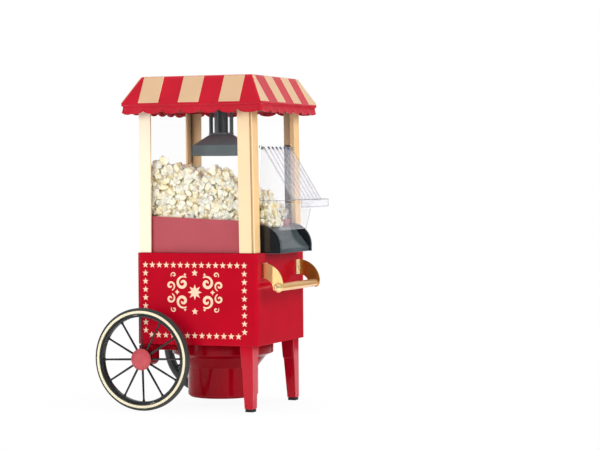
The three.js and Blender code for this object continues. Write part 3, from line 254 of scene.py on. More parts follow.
# Darker than the body: painted shade for the drum, plate and beam that sit under it.
housing_shade_red = finish_of("housing_shade_red", paint(140, 0, 18), 0.16, drift=0.07, grain=0.02,
                        Specular_IOR_Level=0.14)
canopy_red = finish_of("canopy_red", paint(192, 25, 44), 0.22, drift=0.06, grain=0.04,
                       edge_wear_and_glint=0.45, wear_and_glint_colour=paint(255, 90, 100), **PLASTIC)
bin_red = finish_of("bin_red", paint(180, 80, 88), 0.5, drift=0.06, grain=0.05, **PLASTIC)
cap_red = finish_of("cap_red", paint(192, 76, 82), 0.34, drift=0.08, grain=0.06)

# %% Creams and golds
stripe_cream = finish_of("stripe_cream", paint(214, 178, 140), 0.38, drift=0.03, grain=0.04,
                         edge_wear_and_glint=0.8, wear_and_glint_colour=paint(255, 214, 180), **PLASTIC)
POST = dict(drift_scale=14, grain=0.01, **PLASTIC)
post_gold = finish_of("post_gold", paint(250, 220, 176), 0.34, drift=0.03, edge_wear_and_glint=0.5,
                      wear_and_glint_colour=paint(255, 246, 224), **POST)
# The near wheel-end post is painted paler, as if more strongly lit.
post_lit_pale_gold = finish_of("post_lit_pale_gold", paint(254, 239, 212), 0.34, drift=0.02, edge_wear_and_glint=0.5,
                           wear_and_glint_colour=paint(255, 250, 236), **POST)
# Flanks are painted a darker gold, as shade.
post_flank_shade_gold = finish_of("post_flank_shade_gold", paint(240, 200, 142), 0.34, drift=0.04, edge_wear_and_glint=0.5,
                           wear_and_glint_colour=paint(255, 236, 200), **POST)
# Inner sides are painted a warmer gold, the light they get in the shaded cabin.
post_inner_glow_gold = finish_of("post_inner_glow_gold", paint(255, 216, 166), 0.34, drift=0.05,
                            edge_wear_and_glint=0.3, **POST)
# The groove is painted darker, as the shade inside it.
groove_shade_gold = finish_of("groove_shade_gold", paint(205, 165, 110), 0.4, drift=0.05, grain=0.03,
                        edge_wear_and_glint=0)
handle_gold = finish_of("handle_gold", paint(238, 186, 122), 0.19, drift=0.06, grain=0.02,
                        edge_wear_and_glint=0.6, wear_and_glint_colour=paint(255, 232, 190), Metallic=0.5)
# The darker bronze is painted shade for the sides of the arms that face each other.
handle_shade_bronze = finish_of("handle_shade_bronze", paint(184, 118, 50), 0.19, drift=0.1, grain=0.02,
                          edge_wear_and_glint=0.6, wear_and_glint_colour=paint(255, 226, 176), Metallic=0.6)
foot_gold = finish_of("foot_gold", paint(252, 222, 168), 0.34, drift=0.06, grain=0.02,
                      edge_wear_and_glint=0.6, wear_and_glint_colour=paint(255, 240, 210), Metallic=0.1)
nut_gold = finish_of("nut_gold", paint(250, 214, 154), 0.19, drift=0.05, grain=0.03,
                     edge_wear_and_glint=0.6, Metallic=0.6)
sign_cream = finish_of("sign_cream", paint(250, 214, 182), 0.45, drift=0.04, grain=0.04,
                       **PLASTIC)
band_cream = finish_of("band_cream", paint(238, 226, 194), 0.4, drift=0.06, grain=0.06)

# %% Dark plastics
kettle_slate = finish_of("kettle_slate", paint(100, 113, 116), 0.42, drift=0.06, grain=0.06,
                         **PLASTIC)
# The pale grey on the cheeks' and slide's edges is mostly a painted highlight along their rims.
chute_black = finish_of("chute_black", paint(28, 32, 35), 0.13, drift=0.1, grain=0.03,
                        edge_wear_and_glint=1.0, wear_and_glint_colour=paint(120, 132, 138))
slide_slate = finish_of("slide_slate", paint(72, 82, 86), 0.17, drift=0.16, grain=0.12,
                        grain_scale=260, stretch=(0.3, 1, 0.3), edge_wear_and_glint=0.6,
                        wear_and_glint_colour=paint(120, 132, 138))
wheel_black = finish_of("wheel_black", paint(30, 32, 33), 0.22, drift=0.1, grain=0.05)
tyre_black = finish_of("tyre_black", paint(46, 50, 48), 0.42, drift=0.12, grain=0.2,
                       grain_scale=1400)
foot_rubber = finish_of("foot_rubber", paint(34, 35, 36), 0.75, drift=0.12, grain=0.3)

# %% Metals and the rest of the inside
pin_steel = finish_of("pin_steel", paint(190, 194, 198), 0.34, grain=0.05, Metallic=1.0,
                      stretch=(1, 1, 20))
pan_aluminium = finish_of("pan_aluminium", paint(206, 208, 210), 0.36, grain=0.08,
                          Metallic=1.0, stretch=(1, 1, 12))
mica_board = finish_of("mica_board", paint(205, 196, 168), 0.7, drift=0.2, drift_scale=120,
                       grain=0.2)
case_plastic = finish_of("case_plastic", paint(232, 226, 210), 0.45, grain=0.1)

# %% [markdown]
# ## Clear plastic
# Panes and hood are thin clear plastic. Face on they nearly vanish, and edge on they
# show grey. Real refraction would also stop the lamps lighting the corn behind them, so
# the shader is mostly see-through, and it covers more as the surface turns edge on.


# %% Clear finishes
def clear_of(name, colour, face_cover, edge_cover, rough=0.04):
    """Clear sheet that covers more of what is behind it where it is seen edge on."""
    material, tree, surface = new_finish(name)
    smear = ranged(tree, noise_of(tree, 14, 5), 0, 1)
    shade = tuple(c * 0.9 for c in colour[:3]) + (1,)
    tree.links.new(mixed(tree, smear, colour, shade), surface.inputs["Base Color"])
    facing = add_node(tree, "ShaderNodeLayerWeight")
    facing.inputs["Blend"].default_value = 0.35
    cover = ranged(tree, facing.outputs["Facing"], face_cover, edge_cover, 0.25, 1)
    tree.links.new(cover, surface.inputs["Alpha"])
    gloss = ranged(tree, noise_of(tree, 60, 4), rough * 0.6, rough * 2)
    tree.links.new(gloss, surface.inputs["Roughness"])
    roughen(tree, surface, noise_of(tree, 35, 2), 0.04, 0.0005)
    surface.inputs["IOR"].default_value = 1.49
    return material


pane_clear = clear_of("pane_clear", paint(254, 254, 255), 0.0, 0.05)
hood_clear = clear_of("hood_clear", paint(236, 234, 240), 0.09, 0.35)
rib_clear = clear_of("rib_clear", paint(206, 204, 216), 0.28, 0.45)
edge_clear = clear_of("edge_clear", paint(176, 176, 184), 0.35, 0.8)
# The rib ends' dark blue grey is painted shade.
rib_tip = clear_of("rib_tip", paint(96, 100, 126), 0.75, 0.95)
print("materials in the file:", len(bpy.data.materials))

# %% [markdown]
# ## Shaping helpers
# Most pieces are either turned, like the kettle, or cut from a flat outline and given
# thickness, like the handle's arms. Both start from an outline whose corners are eased
# with small arcs, because the light that an eased edge catches is what makes a
# moulding look real.


# %% An outline with eased corners
def eased(points, closed=True, steps=4):
    """Points (a, b) or (a, b, radius): each corner with a radius becomes an arc."""
    outline = []
    count = len(points)
    for i, point in enumerate(points):
        radius = point[2] if len(point) > 2 else 0
        here = Vector(point[:2])
        if not radius or (not closed and i in (0, count - 1)):
            outline.append(tuple(here))
            continue
        before = Vector(points[i - 1][:2]) - here
        after = Vector(points[(i + 1) % count][:2]) - here
        angle = before.angle(after)
        reach = min(radius / math.tan(angle / 2), 0.49 * before.length, 0.49 * after.length)
        first, last = here + before.normalized() * reach, here + after.normalized() * reach
        middle = (first + last) / 2
        bow = reach * math.tan(angle / 2)
        inward = (middle - here).normalized()
        centre = here + inward * math.hypot(reach, bow)
        for step in range(steps + 1):
            share = step / steps
            spoke = (first - centre).lerp(last - centre, share)
            outline.append(tuple(centre + spoke.normalized() * bow))
    return outline


# %% Turned, cut and joined shapes
AXIS_POINT = 1e-6
TURNS = {
    "Z": lambda r, h, c, s: (r * c, r * s, h),
    "Y": lambda r, h, c, s: (r * c, h, r * s),
    "X": lambda r, h, c, s: (h, r * c, r * s),
}


def turned(form, outline, steps=96, axis="Z", at=(0, 0, 0)):
    """Turns an outline of (radius, height) points about an axis, closing it on itself."""
    rings = []
    place = TURNS[axis]
    for radius, height in outline:
        if radius < AXIS_POINT:
            rings.append([form.verts.new(Vector(place(0, height, 1, 0)) + Vector(at))])
            continue
        ring = []
        for step in range(steps):
            angle = 2 * math.pi * step / steps
            point = place(radius, height, math.cos(angle), math.sin(angle))
            ring.append(form.verts.new(Vector(point) + Vector(at)))
        rings.append(ring)
    for i, ring in enumerate(rings):
        other = rings[(i + 1) % len(rings)]
        if len(ring) == 1 and len(other) == 1:
            continue
        for step in range(steps):
            nxt = (step + 1) % steps
            corners = []
            for source, index in ((ring, step), (ring, nxt), (other, nxt), (other, step)):
                corner = source[index % len(source)]
                if corner not in corners:
                    corners.append(corner)
            if len(corners) > 2:
                form.faces.new(corners)
    return form


def cut_out(form, outline, low, high, axis="Y"):
    """Gives an outline thickness along an axis. X takes (y, z), Y (x, z) and Z (x, y)."""
    place = {
        "X": lambda a, b, d: (d, a, b),
        "Y": lambda a, b, d: (a, d, b),
        "Z": lambda a, b, d: (a, b, d),
    }[axis]
    faces = [[form.verts.new(place(a, b, d)) for a, b in outline] for d in (low, high)]
    for face in faces:
        form.faces.new(face)
    count = len(outline)
    for i in range(count):
        nxt = (i + 1) % count
        form.faces.new((faces[0][i], faces[0][nxt], faces[1][nxt], faces[1][i]))
    return form


def circle(radius, a=0, b=0, steps=32, start=0, end=360):
    """Points on a circle or an arc of it."""
    whole = abs(end - start) >= 360
    last = steps if whole else steps + 1
    turns = [math.radians(start + (end - start) * i / steps) for i in range(last)]
    return [(a + radius * math.cos(t), b + radius * math.sin(t)) for t in turns]


def add_form(form, part, turn, axis, shift):
    """Turns a part about an axis, moves it to its place and adds it to the form."""
    spin = Matrix.Rotation(turn, 3, axis)
    bmesh.ops.rotate(part, verts=part.verts, matrix=spin)
    bmesh.ops.translate(part, verts=part.verts, vec=shift)
    scrap = bpy.data.meshes.new("scrap")
    part.to_mesh(scrap)
    part.free()
    form.from_mesh(scrap)
    bpy.data.meshes.remove(scrap)


# %% [markdown]
# ## From a drawing to a piece
# A form is drawn in millimetres and becomes a mesh in metres. Its faces are turned
# outwards, soft corners are shaded smooth and hard ones left sharp. Then its edges are
# rounded, it takes its material, rides on its body, and the plain node it stands for is
# hidden. The next cells are the steps of that road.


# %% Shading and meshes
def smooth_faces(form, crease):
    """Shades the form smooth, except across edges that bend by more than the crease."""
    hard = math.radians(crease)
    for face in form.faces:
        face.smooth = True
    for edge in form.edges:
        edge.smooth = not edge.is_manifold or edge.calc_face_angle(0) < hard


def mesh_of(form, name):
    """The form as a mesh. The form itself is used up."""
    mesh = bpy.data.meshes.new(name)
    form.to_mesh(mesh)
    form.free()
    return mesh


# %% [markdown]
# ## Rubbed and glinting edges
# On a real moulding the sharp edges catch the light and lose some colour. Rounding an
# edge leaves a row of narrow faces, so the points that touch only such faces, and that
# stand out rather than in, are marked. The finish then paints the marked places paler,
# partly as rubbing and partly as a painted highlight where the edge catches the light.

# %% Rubbed and glinting edges
EDGE_STRIP_WIDTH, EDGE_STRIP_BEND, TINY = 0.45, 0.05, 1e-9


def mark_wear_and_glint(made):
    """Applies the rounding, then marks the points that lie on narrow rounded outer edges."""
    depsgraph = bpy.context.evaluated_depsgraph_get()
    mesh = bpy.data.meshes.new_from_object(made.evaluated_get(depsgraph), depsgraph=depsgraph)
    made.modifiers.clear()
    old, made.data = made.data, mesh
    bpy.data.meshes.remove(old)
    form = bmesh.new()
    form.from_mesh(mesh)
    strips = []
    for face in form.faces:
        width = 2 * face.calc_area() / max(face.calc_perimeter(), TINY)
        longest = max(face.edges, key=lambda edge: edge.calc_length())
        bent = longest.calc_face_angle(0) > EDGE_STRIP_BEND
        strips.append(width < EDGE_STRIP_WIDTH * MM and bent)
    marks = []
    for vertex in form.verts:
        narrow = vertex.link_faces and all(strips[f.index] for f in vertex.link_faces)
        bend = sum(((e.other_vert(vertex).co - vertex.co) for e in vertex.link_edges), Vector())
        marks.append(1.0 if narrow and bend.dot(vertex.normal) < 0 else 0.0)
    form.free()
    mesh.attributes.new("wear_glint_mark", "FLOAT", "POINT").data.foreach_set("value", marks)


# %% [markdown]
# ## Level faces
# Smooth shading would bend the light on a flat wall towards its rounded edges. So at
# each corner the faces that look about the same way share their direction, each as
# strongly as it is large, and a wide wall stays level right up to its rounding.

# %% Level faces
SAME_WAY = 0.8


def level_normals(mesh):
    """Lets each large flat face rule the shading of its corners, so that it looks flat."""
    form = bmesh.new()
    form.from_mesh(mesh)
    areas = [face.calc_area() for face in form.faces]
    normals = []
    for face in form.faces:
        for corner in face.loops:
            pull = Vector()
            for other in corner.vert.link_faces:
                if other.normal.dot(face.normal) > SAME_WAY:
                    pull += other.normal * areas[other.index]
            normals.append(pull.normalized() if pull.length else face.normal.copy())
    form.free()
    mesh.normals_split_custom_set(normals)


# %% Dressing
def dressed(name, mesh, body, finish, *stands_for, bevel=0, segments=2, slot=None, angle=30):
    """Puts a mesh into the scene as a piece, with its edges rounded where bevel says so."""
    mesh.materials.clear()
    for one in finish if isinstance(finish, (list, tuple)) else [finish]:
        mesh.materials.append(one)
    made = bpy.data.objects.new(name, mesh)
    bpy.context.scene.collection.objects.link(made)
    if bevel:
        rounding = made.modifiers.new("eased_edges", "BEVEL")
        rounding.width = bevel * MM
        rounding.segments = segments
        rounding.limit_method = "ANGLE"
        rounding.angle_limit = math.radians(angle)
        rounding.miter_outer = "MITER_ARC"
    mark_wear_and_glint(made)
    if bevel:
        level_normals(made.data)
    made.data.name = name
    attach(made, body)
    if stands_for:
        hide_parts(*stands_for)
    return made


# %% A drawn piece
WELD = 1e-4


def piece(name, form, body, finish, *stands_for, crease=32, bevel=0, segments=2, slot=None):
    """Turns a form drawn in millimetres into a piece of the cart."""
    bmesh.ops.remove_doubles(form, verts=form.verts, dist=WELD)
    bmesh.ops.scale(form, vec=(MM, MM, MM), verts=form.verts)
    bmesh.ops.recalc_face_normals(form, faces=form.faces)
    smooth_faces(form, crease)
    return dressed(name, mesh_of(form, name), body, finish, *stands_for,
                   bevel=bevel, segments=segments, slot=slot)


# %% [markdown]
# ## Softened mouldings
# Some pieces have the right shape in the frame already and only want softer edges. A
# fresh copy is taken, its coplanar faces are joined so that the rounding finds clean
# edges, and each sharp edge is rounded.

# %% A softened copy
SEAM, FLAT, MOULD_CREASE = 2e-6, 0.5, 30


def softened(node, finish, bevel, segments=3):
    """A fresh copy of a flat-sided moulding, with every sharp edge rounded."""
    form = bmesh.new()
    form.from_mesh(nodes[node].data)
    bmesh.ops.remove_doubles(form, verts=form.verts, dist=SEAM)
    bmesh.ops.dissolve_limit(
        form, angle_limit=math.radians(FLAT), verts=form.verts, edges=form.edges
    )
    smooth_faces(form, MOULD_CREASE)
    name = node + "_shape"
    return dressed(name, mesh_of(form, name), nodes[node]["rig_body"], finish, node,
                   bevel=bevel, segments=segments)


# %% [markdown]
# ## Body box
# The body is one glossy red moulding with small eased edges. Its shape is right in the
# frame already, so it is a softened copy. The plate that closes it below, the beam that
# carries the axles, the legs and their rubber feet are treated in the same way.

# %% Body box, plate, beam and legs
softened("body_shell", body_red, 0.9, 4)
softened("bottom_plate", housing_shade_red, 0.4)
softened("axle_carrier", housing_shade_red, 0.8)
for side in ("near", "far"):
    softened(f"leg_{side}", body_red, 0.7, 4)
    softened(f"foot_{side}", foot_rubber, 0.5)

# %% [markdown]
# ## Motor housing
# The drum under the body is turned on a lathe-like profile: a wide collar, a bevel, a
# cone and a plain can. The air goes in through slots in its floor, which are cut with
# a boolean because their sides are parallel and not radial.

# %% Motor housing
_, x_high, _, _, floor_z, housing_top = limits("motor_housing")
collar = x_high - axis_x
WALL = 2.2
housing_outside = [
    (0, floor_z), (39, floor_z, 3), (42, floor_z + 3, 2), (42, 46, 1.2), (52, 58.6, 1.2),
    (collar, 62.6, 1.4), (collar, housing_top, 0.6),
]
housing_inside = [
    (r - WALL, h) for r, h in ((collar, housing_top), (collar, 64), (52, 60.6), (42, 47))
]
housing_inside += [(42 - WALL, floor_z + WALL + 1), (0, floor_z + WALL)]
outline = eased(housing_outside + housing_inside, closed=False)
form = turned(bmesh.new(), outline, 128, at=(axis_x, 0, 0))
housing = piece("motor_housing_shape", form, "cart", housing_shade_red, "motor_housing")

# %% Intake slots
SLOTS = 12
slot_outline = eased([(12, -1.5, 1.4), (32, -1.5, 1.4), (32, 1.5, 1.4), (12, 1.5, 1.4)])
form = bmesh.new()
for number in range(SLOTS):
    one = cut_out(bmesh.new(), slot_outline, floor_z - 1, floor_z + WALL + 1, "Z")
    add_form(form, one, math.radians(360 / SLOTS * number), "Z", (axis_x, 0, 0))
bmesh.ops.scale(form, verts=form.verts, vec=(MM, MM, MM))
bmesh.ops.recalc_face_normals(form, faces=form.faces)
cutter = bpy.data.objects.new("intake_slots", mesh_of(form, "intake_slots"))
bpy.context.scene.collection.objects.link(cutter)
cut = housing.modifiers.new("intake_slots", "BOOLEAN")
cut.object, cut.solver = cutter, "EXACT"
bpy.context.view_layer.update()
with bpy.context.temp_override(
    object=housing, active_object=housing, selected_objects=[housing]
):
    bpy.ops.object.modifier_apply(modifier="intake_slots")
bpy.data.objects.remove(cutter)
print("housing faces:", len(housing.data.polygons))

# %% [markdown]
# ## Wheels
# Each wheel is a black rim with twelve thin round spokes, a tyre with a pale ring let
# into its outer wall, and a red drum and domed cap at its hub. They turn about the
# Y axis, so the outlines are drawn as (radius, offset along the axle).

# %% Wheels
WHEEL_X, WHEEL_Z, TRACK = middle("tyre_near")[0], 60, 94
SPOKES, SPOKE_TURN = 12, 1.72
RIM = [(49.4, -3.6, 1), (51.9, -4.2, 0.8), (51.9, 4.2, 0.8), (49.4, 3.6, 1)]
SPOKE = ((7, 13, 2.3, 1.35), (13, 46, 1.35, 1.15), (46, 50.2, 1.15, 1.9))
HUB = [(3.3, -8.5), (8.9, -8.5, 0.8), (9.5, -6, 1), (9.5, 1.4, 1.2), (8.6, 2.2, 0.6),
       (3.3, 2.2)]
TREAD = [(52.2, -4.7, 0.8), (57.4, -4.7, 1.8), (60, -2.1, 2), (60, 2.1, 2), (58.6, 4.3, 1.2),
         (57.4, 4.7, 0.3), (57.2, 4.7, 0.3), (57.2, 3.1), (53.5, 3.1), (53.5, 4.7, 0.3),
         (52.2, 4.7, 0.3)]
BAND = [(53.8, 3.4), (56.9, 3.4), (56.9, 4.8, 0.5), (55.4, 5.15, 0.8), (53.8, 4.8, 0.5)]
CAP = [(5.3, 2.5), (12.2, 2.5, 0.4), (12.6, 3, 0.6), (12.6, 4.2, 1.2), (11.2, 5.6, 2),
       (8, 7.7, 4), (4, 8.6, 4), (0, 8.7), (0, 4.5), (5.3, 4.5)]


def wheel_ring(form, outline, side, steps, closed=True):
    """Turns an outline of (radius, offset outwards from the wheel's middle plane)."""
    points = [(r, side * (TRACK + d)) for r, d in eased(outline, closed)]
    return turned(form, points, steps, "Y", (WHEEL_X, 0, WHEEL_Z))


def wheel_pieces(side, name, body):
    """One wheel: rim, spokes and hub in one piece, then tyre, pale ring and cap."""
    form = wheel_ring(bmesh.new(), RIM, side, 128)
    for number in range(SPOKES):
        angle = math.radians(360 / SPOKES * number - SPOKE_TURN)
        for first, last, thick, thin in SPOKE:
            outline = [(0, first), (thick, first), (thin, last), (0, last)]
            spoke = turned(bmesh.new(), outline, 12, "X")
            add_form(form, spoke, angle, "Y", (WHEEL_X, side * TRACK, WHEEL_Z))
    wheel_ring(form, HUB, side, 64)
    piece(f"wheel_shape_{name}", form, body, wheel_black, f"wheel_{name}", crease=40)
    form = wheel_ring(bmesh.new(), TREAD, side, 160)
    piece(f"tyre_shape_{name}", form, body, tyre_black, f"tyre_{name}")
    form = wheel_ring(bmesh.new(), BAND, side, 160)
    piece(f"tyre_band_shape_{name}", form, body, band_cream, f"tyre_band_{name}")
    form = wheel_ring(bmesh.new(), CAP, side, 80, closed=False)
    piece(f"hub_cap_shape_{name}", form, body, cap_red, f"hub_cap_{name}")


for side, name in ((-1, "near"), (1, "far")):
    wheel_pieces(side, name, f"wheel_{name}")
print("wheel radius", WHEEL_Z, "mm, track", 2 * TRACK, "mm")

# %% [markdown]
# ## Cabin
# Four angle posts stand on the body and hold clear panes, and a fine groove runs beside
# each outer corner. Their fronts are cream. The flanks and the groove are painted a darker
# gold as shade, the inner sides a warmer gold as the glow of the shaded cabin, and the near
# post at the wheel end is painted paler as if more strongly lit. The bin inside is tinted
# plastic with a satin face, a soft pinkish red through the pane. A red frame closes the
# cabin above and carries the canopy.

# %% Posts, panes, bin and top frame
GROOVE_NEAR, GROOVE_FAR, GROOVE_FROM = 0.3, 1.4, 60
GROOVE, FLANK, INNER_SIDE = 1, 2, 3


def shade_post(post):
    """Painted shade in darker gold on a post's groove and flank, painted warm light on its inner
    sides.
    """
    for finish in (groove_shade_gold, post_flank_shade_gold, post_inner_glow_gold):
        post.data.materials.append(finish)
    outer = max(abs(v.co.y) for v in post.data.vertices)
    for face in post.data.polygons:
        x, y, _ = face.center
        depth = (outer - abs(y)) / MM
        inward = -face.normal.x * x - face.normal.y * y
        if GROOVE_NEAR < depth < GROOVE_FAR and x / MM > GROOVE_FROM:
            face.material_index = GROOVE
        elif inward > 0.5 * abs(y):
            face.material_index = INNER_SIDE
        elif abs(face.normal.x) > SAME_WAY:
            face.material_index = FLANK


for side in ("near", "far"):
    for end in ("wheel_end", "chute_end"):
        # The near wheel-end post takes the paler finish, painted as if more strongly lit.
        front = post_lit_pale_gold if (side, end) == ("near", "wheel_end") else post_gold
        shade_post(softened(f"post_{end}_{side}", front, 0.45))
    softened(f"pane_{side}", pane_clear, 0.2, 2)
for end in ("wheel_end", "chute_end"):
    softened(f"pane_{end}", pane_clear, 0.2, 2)
softened("popcorn_bin", bin_red, 0.5)
softened("roof_frame", canopy_red, 0.5)

# %% [markdown]
# ## Canopy
# The canopy is one hip-roofed moulding. Its eave is a small proud ridge, and under it
# the valance pulls in and flares out again to a scalloped edge. It is drawn as a stack
# of square rings with soft corners, all with the same number of points, so that one
# skin runs from the cup's seat over the slopes, round the lobes and up the inside.

# %% Square rings
CANOPY_LOBES, LOBE_STEPS, CORNER_STEPS = 7, 12, 5
EAVE_HALF, TOP_HALF, EAVE_Z, TOP_Z = 89.5, 70.5, 357.3, 390
VALANCE_TOP, LOBE_TIP, LOBE_DROP = 354.5, 345.7, 3.8
LOBE_WIDTH, END_LOBE_RISE = 0.93, 0.45
canopy_x = middle("canopy")[0]


def square_ring(half, corner):
    """Points (x, y, run) round a soft square. Run goes from -1 to 1 on each side."""
    points = []
    count = CANOPY_LOBES * LOBE_STEPS
    straight = half - corner
    for turn in range(4):
        spin = Matrix.Rotation(turn * math.pi / 2, 2)
        for step in range(count + 1):
            run = 2 * step / count - 1
            points.append((*(spin @ Vector((run * straight, -half))), run))
        for step in range(1, CORNER_STEPS):
            angle = -math.pi / 2 + (math.pi / 2) * step / CORNER_STEPS
            x, y = corner * math.cos(angle), corner * math.sin(angle)
            points.append((*(spin @ Vector((straight + x, corner - half + y))), 1))
    return points


def lobe_edge(run):
    """Height of the valance's lower edge at a place along a side."""
    place = (run + 1) / 2 * CANOPY_LOBES
    across = 2 * (place - math.floor(place)) - 1 if run < 1 else 1
    dip = 1 - math.sqrt(max(0, 1 - (across * LOBE_WIDTH) ** 2))
    rise = LOBE_DROP * dip / (1 - math.sqrt(1 - LOBE_WIDTH**2))
    outermost = abs(run) > 1 - 1 / CANOPY_LOBES
    return LOBE_TIP + (rise * END_LOBE_RISE if outermost else rise)


def slope_half(z):
    """Half the canopy's width at a height on its slopes."""
    return EAVE_HALF - (EAVE_HALF - TOP_HALF) * (z - EAVE_Z) / (TOP_Z - EAVE_Z)


# %% Canopy skin
def ring_at(half, corner, height):
    """A square ring whose height is a number or follows the lobes."""
    return [
        (x, y, height(run) if callable(height) else height)
        for x, y, run in square_ring(half, corner)
    ]


def round_ring(radius, height):
    """A round ring about the machine's axis, with as many points as a square one."""
    offset = axis_x - canopy_x
    ring = []
    for x, y, _ in square_ring(TOP_HALF, 2):
        angle = math.atan2(y, x - offset)
        ring.append((offset + radius * math.cos(angle), radius * math.sin(angle), height))
    return ring


def valance_at(share):
    """Heights that lie part of the way from the valance's top to its lobes."""
    return lambda run: VALANCE_TOP + (lobe_edge(run) - VALANCE_TOP) * share


CUP_SEAT = ((21.5, 386.6), (21.5, 388), (29.9, 388), (29.9, 389.7), (30.2, 390), (31, 390))
FLAT_TOP = ((68, 1.5, 390), (69.2, 1.6, 390), (70.1, 1.8, 389.75), (70.8, 2, 389.2))
EAVE_RIDGE = ((89.3, 357.7), (89.6, 357), (89.6, 356.3), (89.3, 355.6), (88.7, 355.1),
              (88.3, 354.8))
VALANCE_IN = ((89.1, 4.8, lobe_edge), (88.1, 4.2, lobe_edge), (87.5, 3.8, valance_at(0.95)),
              (86.3, 3, valance_at(0.4)), (85.7, 2, 355.5))


def canopy_rings():
    """The rings of the skin, from the cup's seat outwards, down, round and up inside."""
    for radius, z in CUP_SEAT:
        yield round_ring(radius, z)
    for half, corner, z in FLAT_TOP:
        yield ring_at(half, corner, z)
    for z in (386, 378, 370, 362, 358.6):
        yield ring_at(slope_half(z), 2.2, z)
    for half, z in EAVE_RIDGE:
        yield ring_at(half, 4.5, z)
    for share in (0, 0.3, 0.6, 0.85, 0.97):
        yield ring_at(88.2 + 1.2 * share**2, 5, valance_at(share))
    for half, corner, height in VALANCE_IN:
        yield ring_at(half, corner, height)
    yield ring_at(slope_half(386.6) - 2.3, 1.5, 386.6)


def loft(form, rings):
    """One closed skin through rings of equal length, the last joined to the first."""
    made = [[form.verts.new(point) for point in ring] for ring in rings]
    count = len(made[0])
    for i, ring in enumerate(made):
        other = made[(i + 1) % len(made)]
        for j in range(count):
            nxt = (j + 1) % count
            form.faces.new((ring[j], ring[nxt], other[nxt], other[j]))
    return form


form = loft(bmesh.new(), list(canopy_rings()))
SEAT_OUT, SEAT_IN = 74.9, 72.9
seat = ((SEAT_OUT, 355.8), (SEAT_OUT, 380.5), (SEAT_IN, 383), (SEAT_IN, 355.8))
loft(form, [ring_at(half, 1, z) for half, z in seat])
bmesh.ops.translate(form, verts=form.verts, vec=(canopy_x, 0, 0))
piece("canopy_shape", form, "canopy", canopy_red, "canopy", crease=28)
print("canopy rings of", len(square_ring(90, 3)), "points")

# %% [markdown]
# ## Stripes
# The cream stripes are let into the slopes and stand about half a millimetre proud.
# Each is a thin plate with eased edges that runs up the slope at a constant place along
# the eave and is clipped by the hips.

# %% Stripes
STRIPE_LOW, STRIPE_HIGH, STRIPE_PROUD, STRIPE_SUNK = 358.5, 389.3, 0.5, 0.6
SIGN_STRIPES = ((-66.4, -40.6), (-15.3, 10.7), (36, 62))
CHUTE_STRIPES = ((-99, -64.8), (-37.3, -12.3), (13.1, 37.5), (62.3, 99))
slope = Vector((-(EAVE_HALF - TOP_HALF), TOP_Z - EAVE_Z)).normalized()


def slope_point(along, z, proud):
    """A point of the near slope: along the eave, at a height, standing off the surface."""
    half = slope_half(z)
    along = max(-half + 0.5, min(half - 0.5, along))
    return Vector((along, -(half + slope.y * proud), z - slope.x * proud))


def stripes(name, turn, bounds):
    """The stripes of one slope, made on the near one and turned to their own."""
    form = bmesh.new()
    spin = Matrix.Rotation(turn * math.pi / 2, 3, "Z")
    for first, last in bounds:
        corners = [(first, STRIPE_LOW), (last, STRIPE_LOW)]
        corners += [(last, STRIPE_HIGH), (first, STRIPE_HIGH)]
        low, high = ([form.verts.new(spin @ slope_point(a, z, proud)) for a, z in corners]
                     for proud in (-STRIPE_SUNK, STRIPE_PROUD))
        form.faces.new(low)
        form.faces.new(high)
        for i in range(4):
            form.faces.new((low[i], low[(i + 1) % 4], high[(i + 1) % 4], high[i]))
    bmesh.ops.translate(form, verts=form.verts, vec=(canopy_x, 0, 0))
    return piece(name, form, "canopy", stripe_cream, bevel=0.3, segments=3, slot="canopy_plastic")


stripes("stripes_sign_side", 0, SIGN_STRIPES)
stripes("stripes_chute_side", 1, CHUTE_STRIPES)
stripes("stripes_far_side", 2, SIGN_STRIPES)
stripes("stripes_wheel_end", 3, CHUTE_STRIPES)

# %% [markdown]
# ## Measuring cup
# The cup that measures the corn sits in the canopy's top and doubles as its lid.
# It is a plain turned cup with a flat flange, a small rolled lip and a finger hollow.

# %% Measuring cup
cup_low, cup_high = limits("measuring_cup")[4:]
CUP_WALL = 1.8
cup = [(0, cup_low), (18.6, cup_low, 1.5), (21, cup_high - CUP_WALL, 0.6),
       (29.3, cup_high - CUP_WALL, 0.6), (29.3, cup_high, 0.8), (20.4, cup_high, 1.2),
       (17.6, cup_low + CUP_WALL, 1.5), (0, cup_low + CUP_WALL)]
form = turned(bmesh.new(), eased(cup, closed=False), 112, at=(axis_x, 0, 0))
piece("measuring_cup_shape", form, "cup", canopy_red, "measuring_cup")
print("cup", round(cup_high - cup_low, 1), "mm deep")

# %% [markdown]
# ## Kettle
# The popping kettle is only a hood: a cone over an upright band with a rolled rim. It
# hangs from a flange by a narrow feed tube and four straps, with daylight between.

# %% Kettle bell
bell_low, bell_high = limits("kettle_bell")[4:]
cone_low = bell_high - 1.6
bell = [(5.8, cone_low), (13.2, cone_low, 1), (33.1, 308.6, 1), (33.1, bell_low, 0.3),
        (35.9, bell_low, 0.7), (35.9, 298.9, 0.7), (34.9, 299.6, 0.5), (34.9, 309.4, 1.2),
        (14.9, bell_high, 1), (5.8, bell_high)]
form = turned(bmesh.new(), eased(bell), 128, at=(axis_x, 0, 0))
piece("kettle_bell_shape", form, "cart", kettle_slate, "kettle_bell")

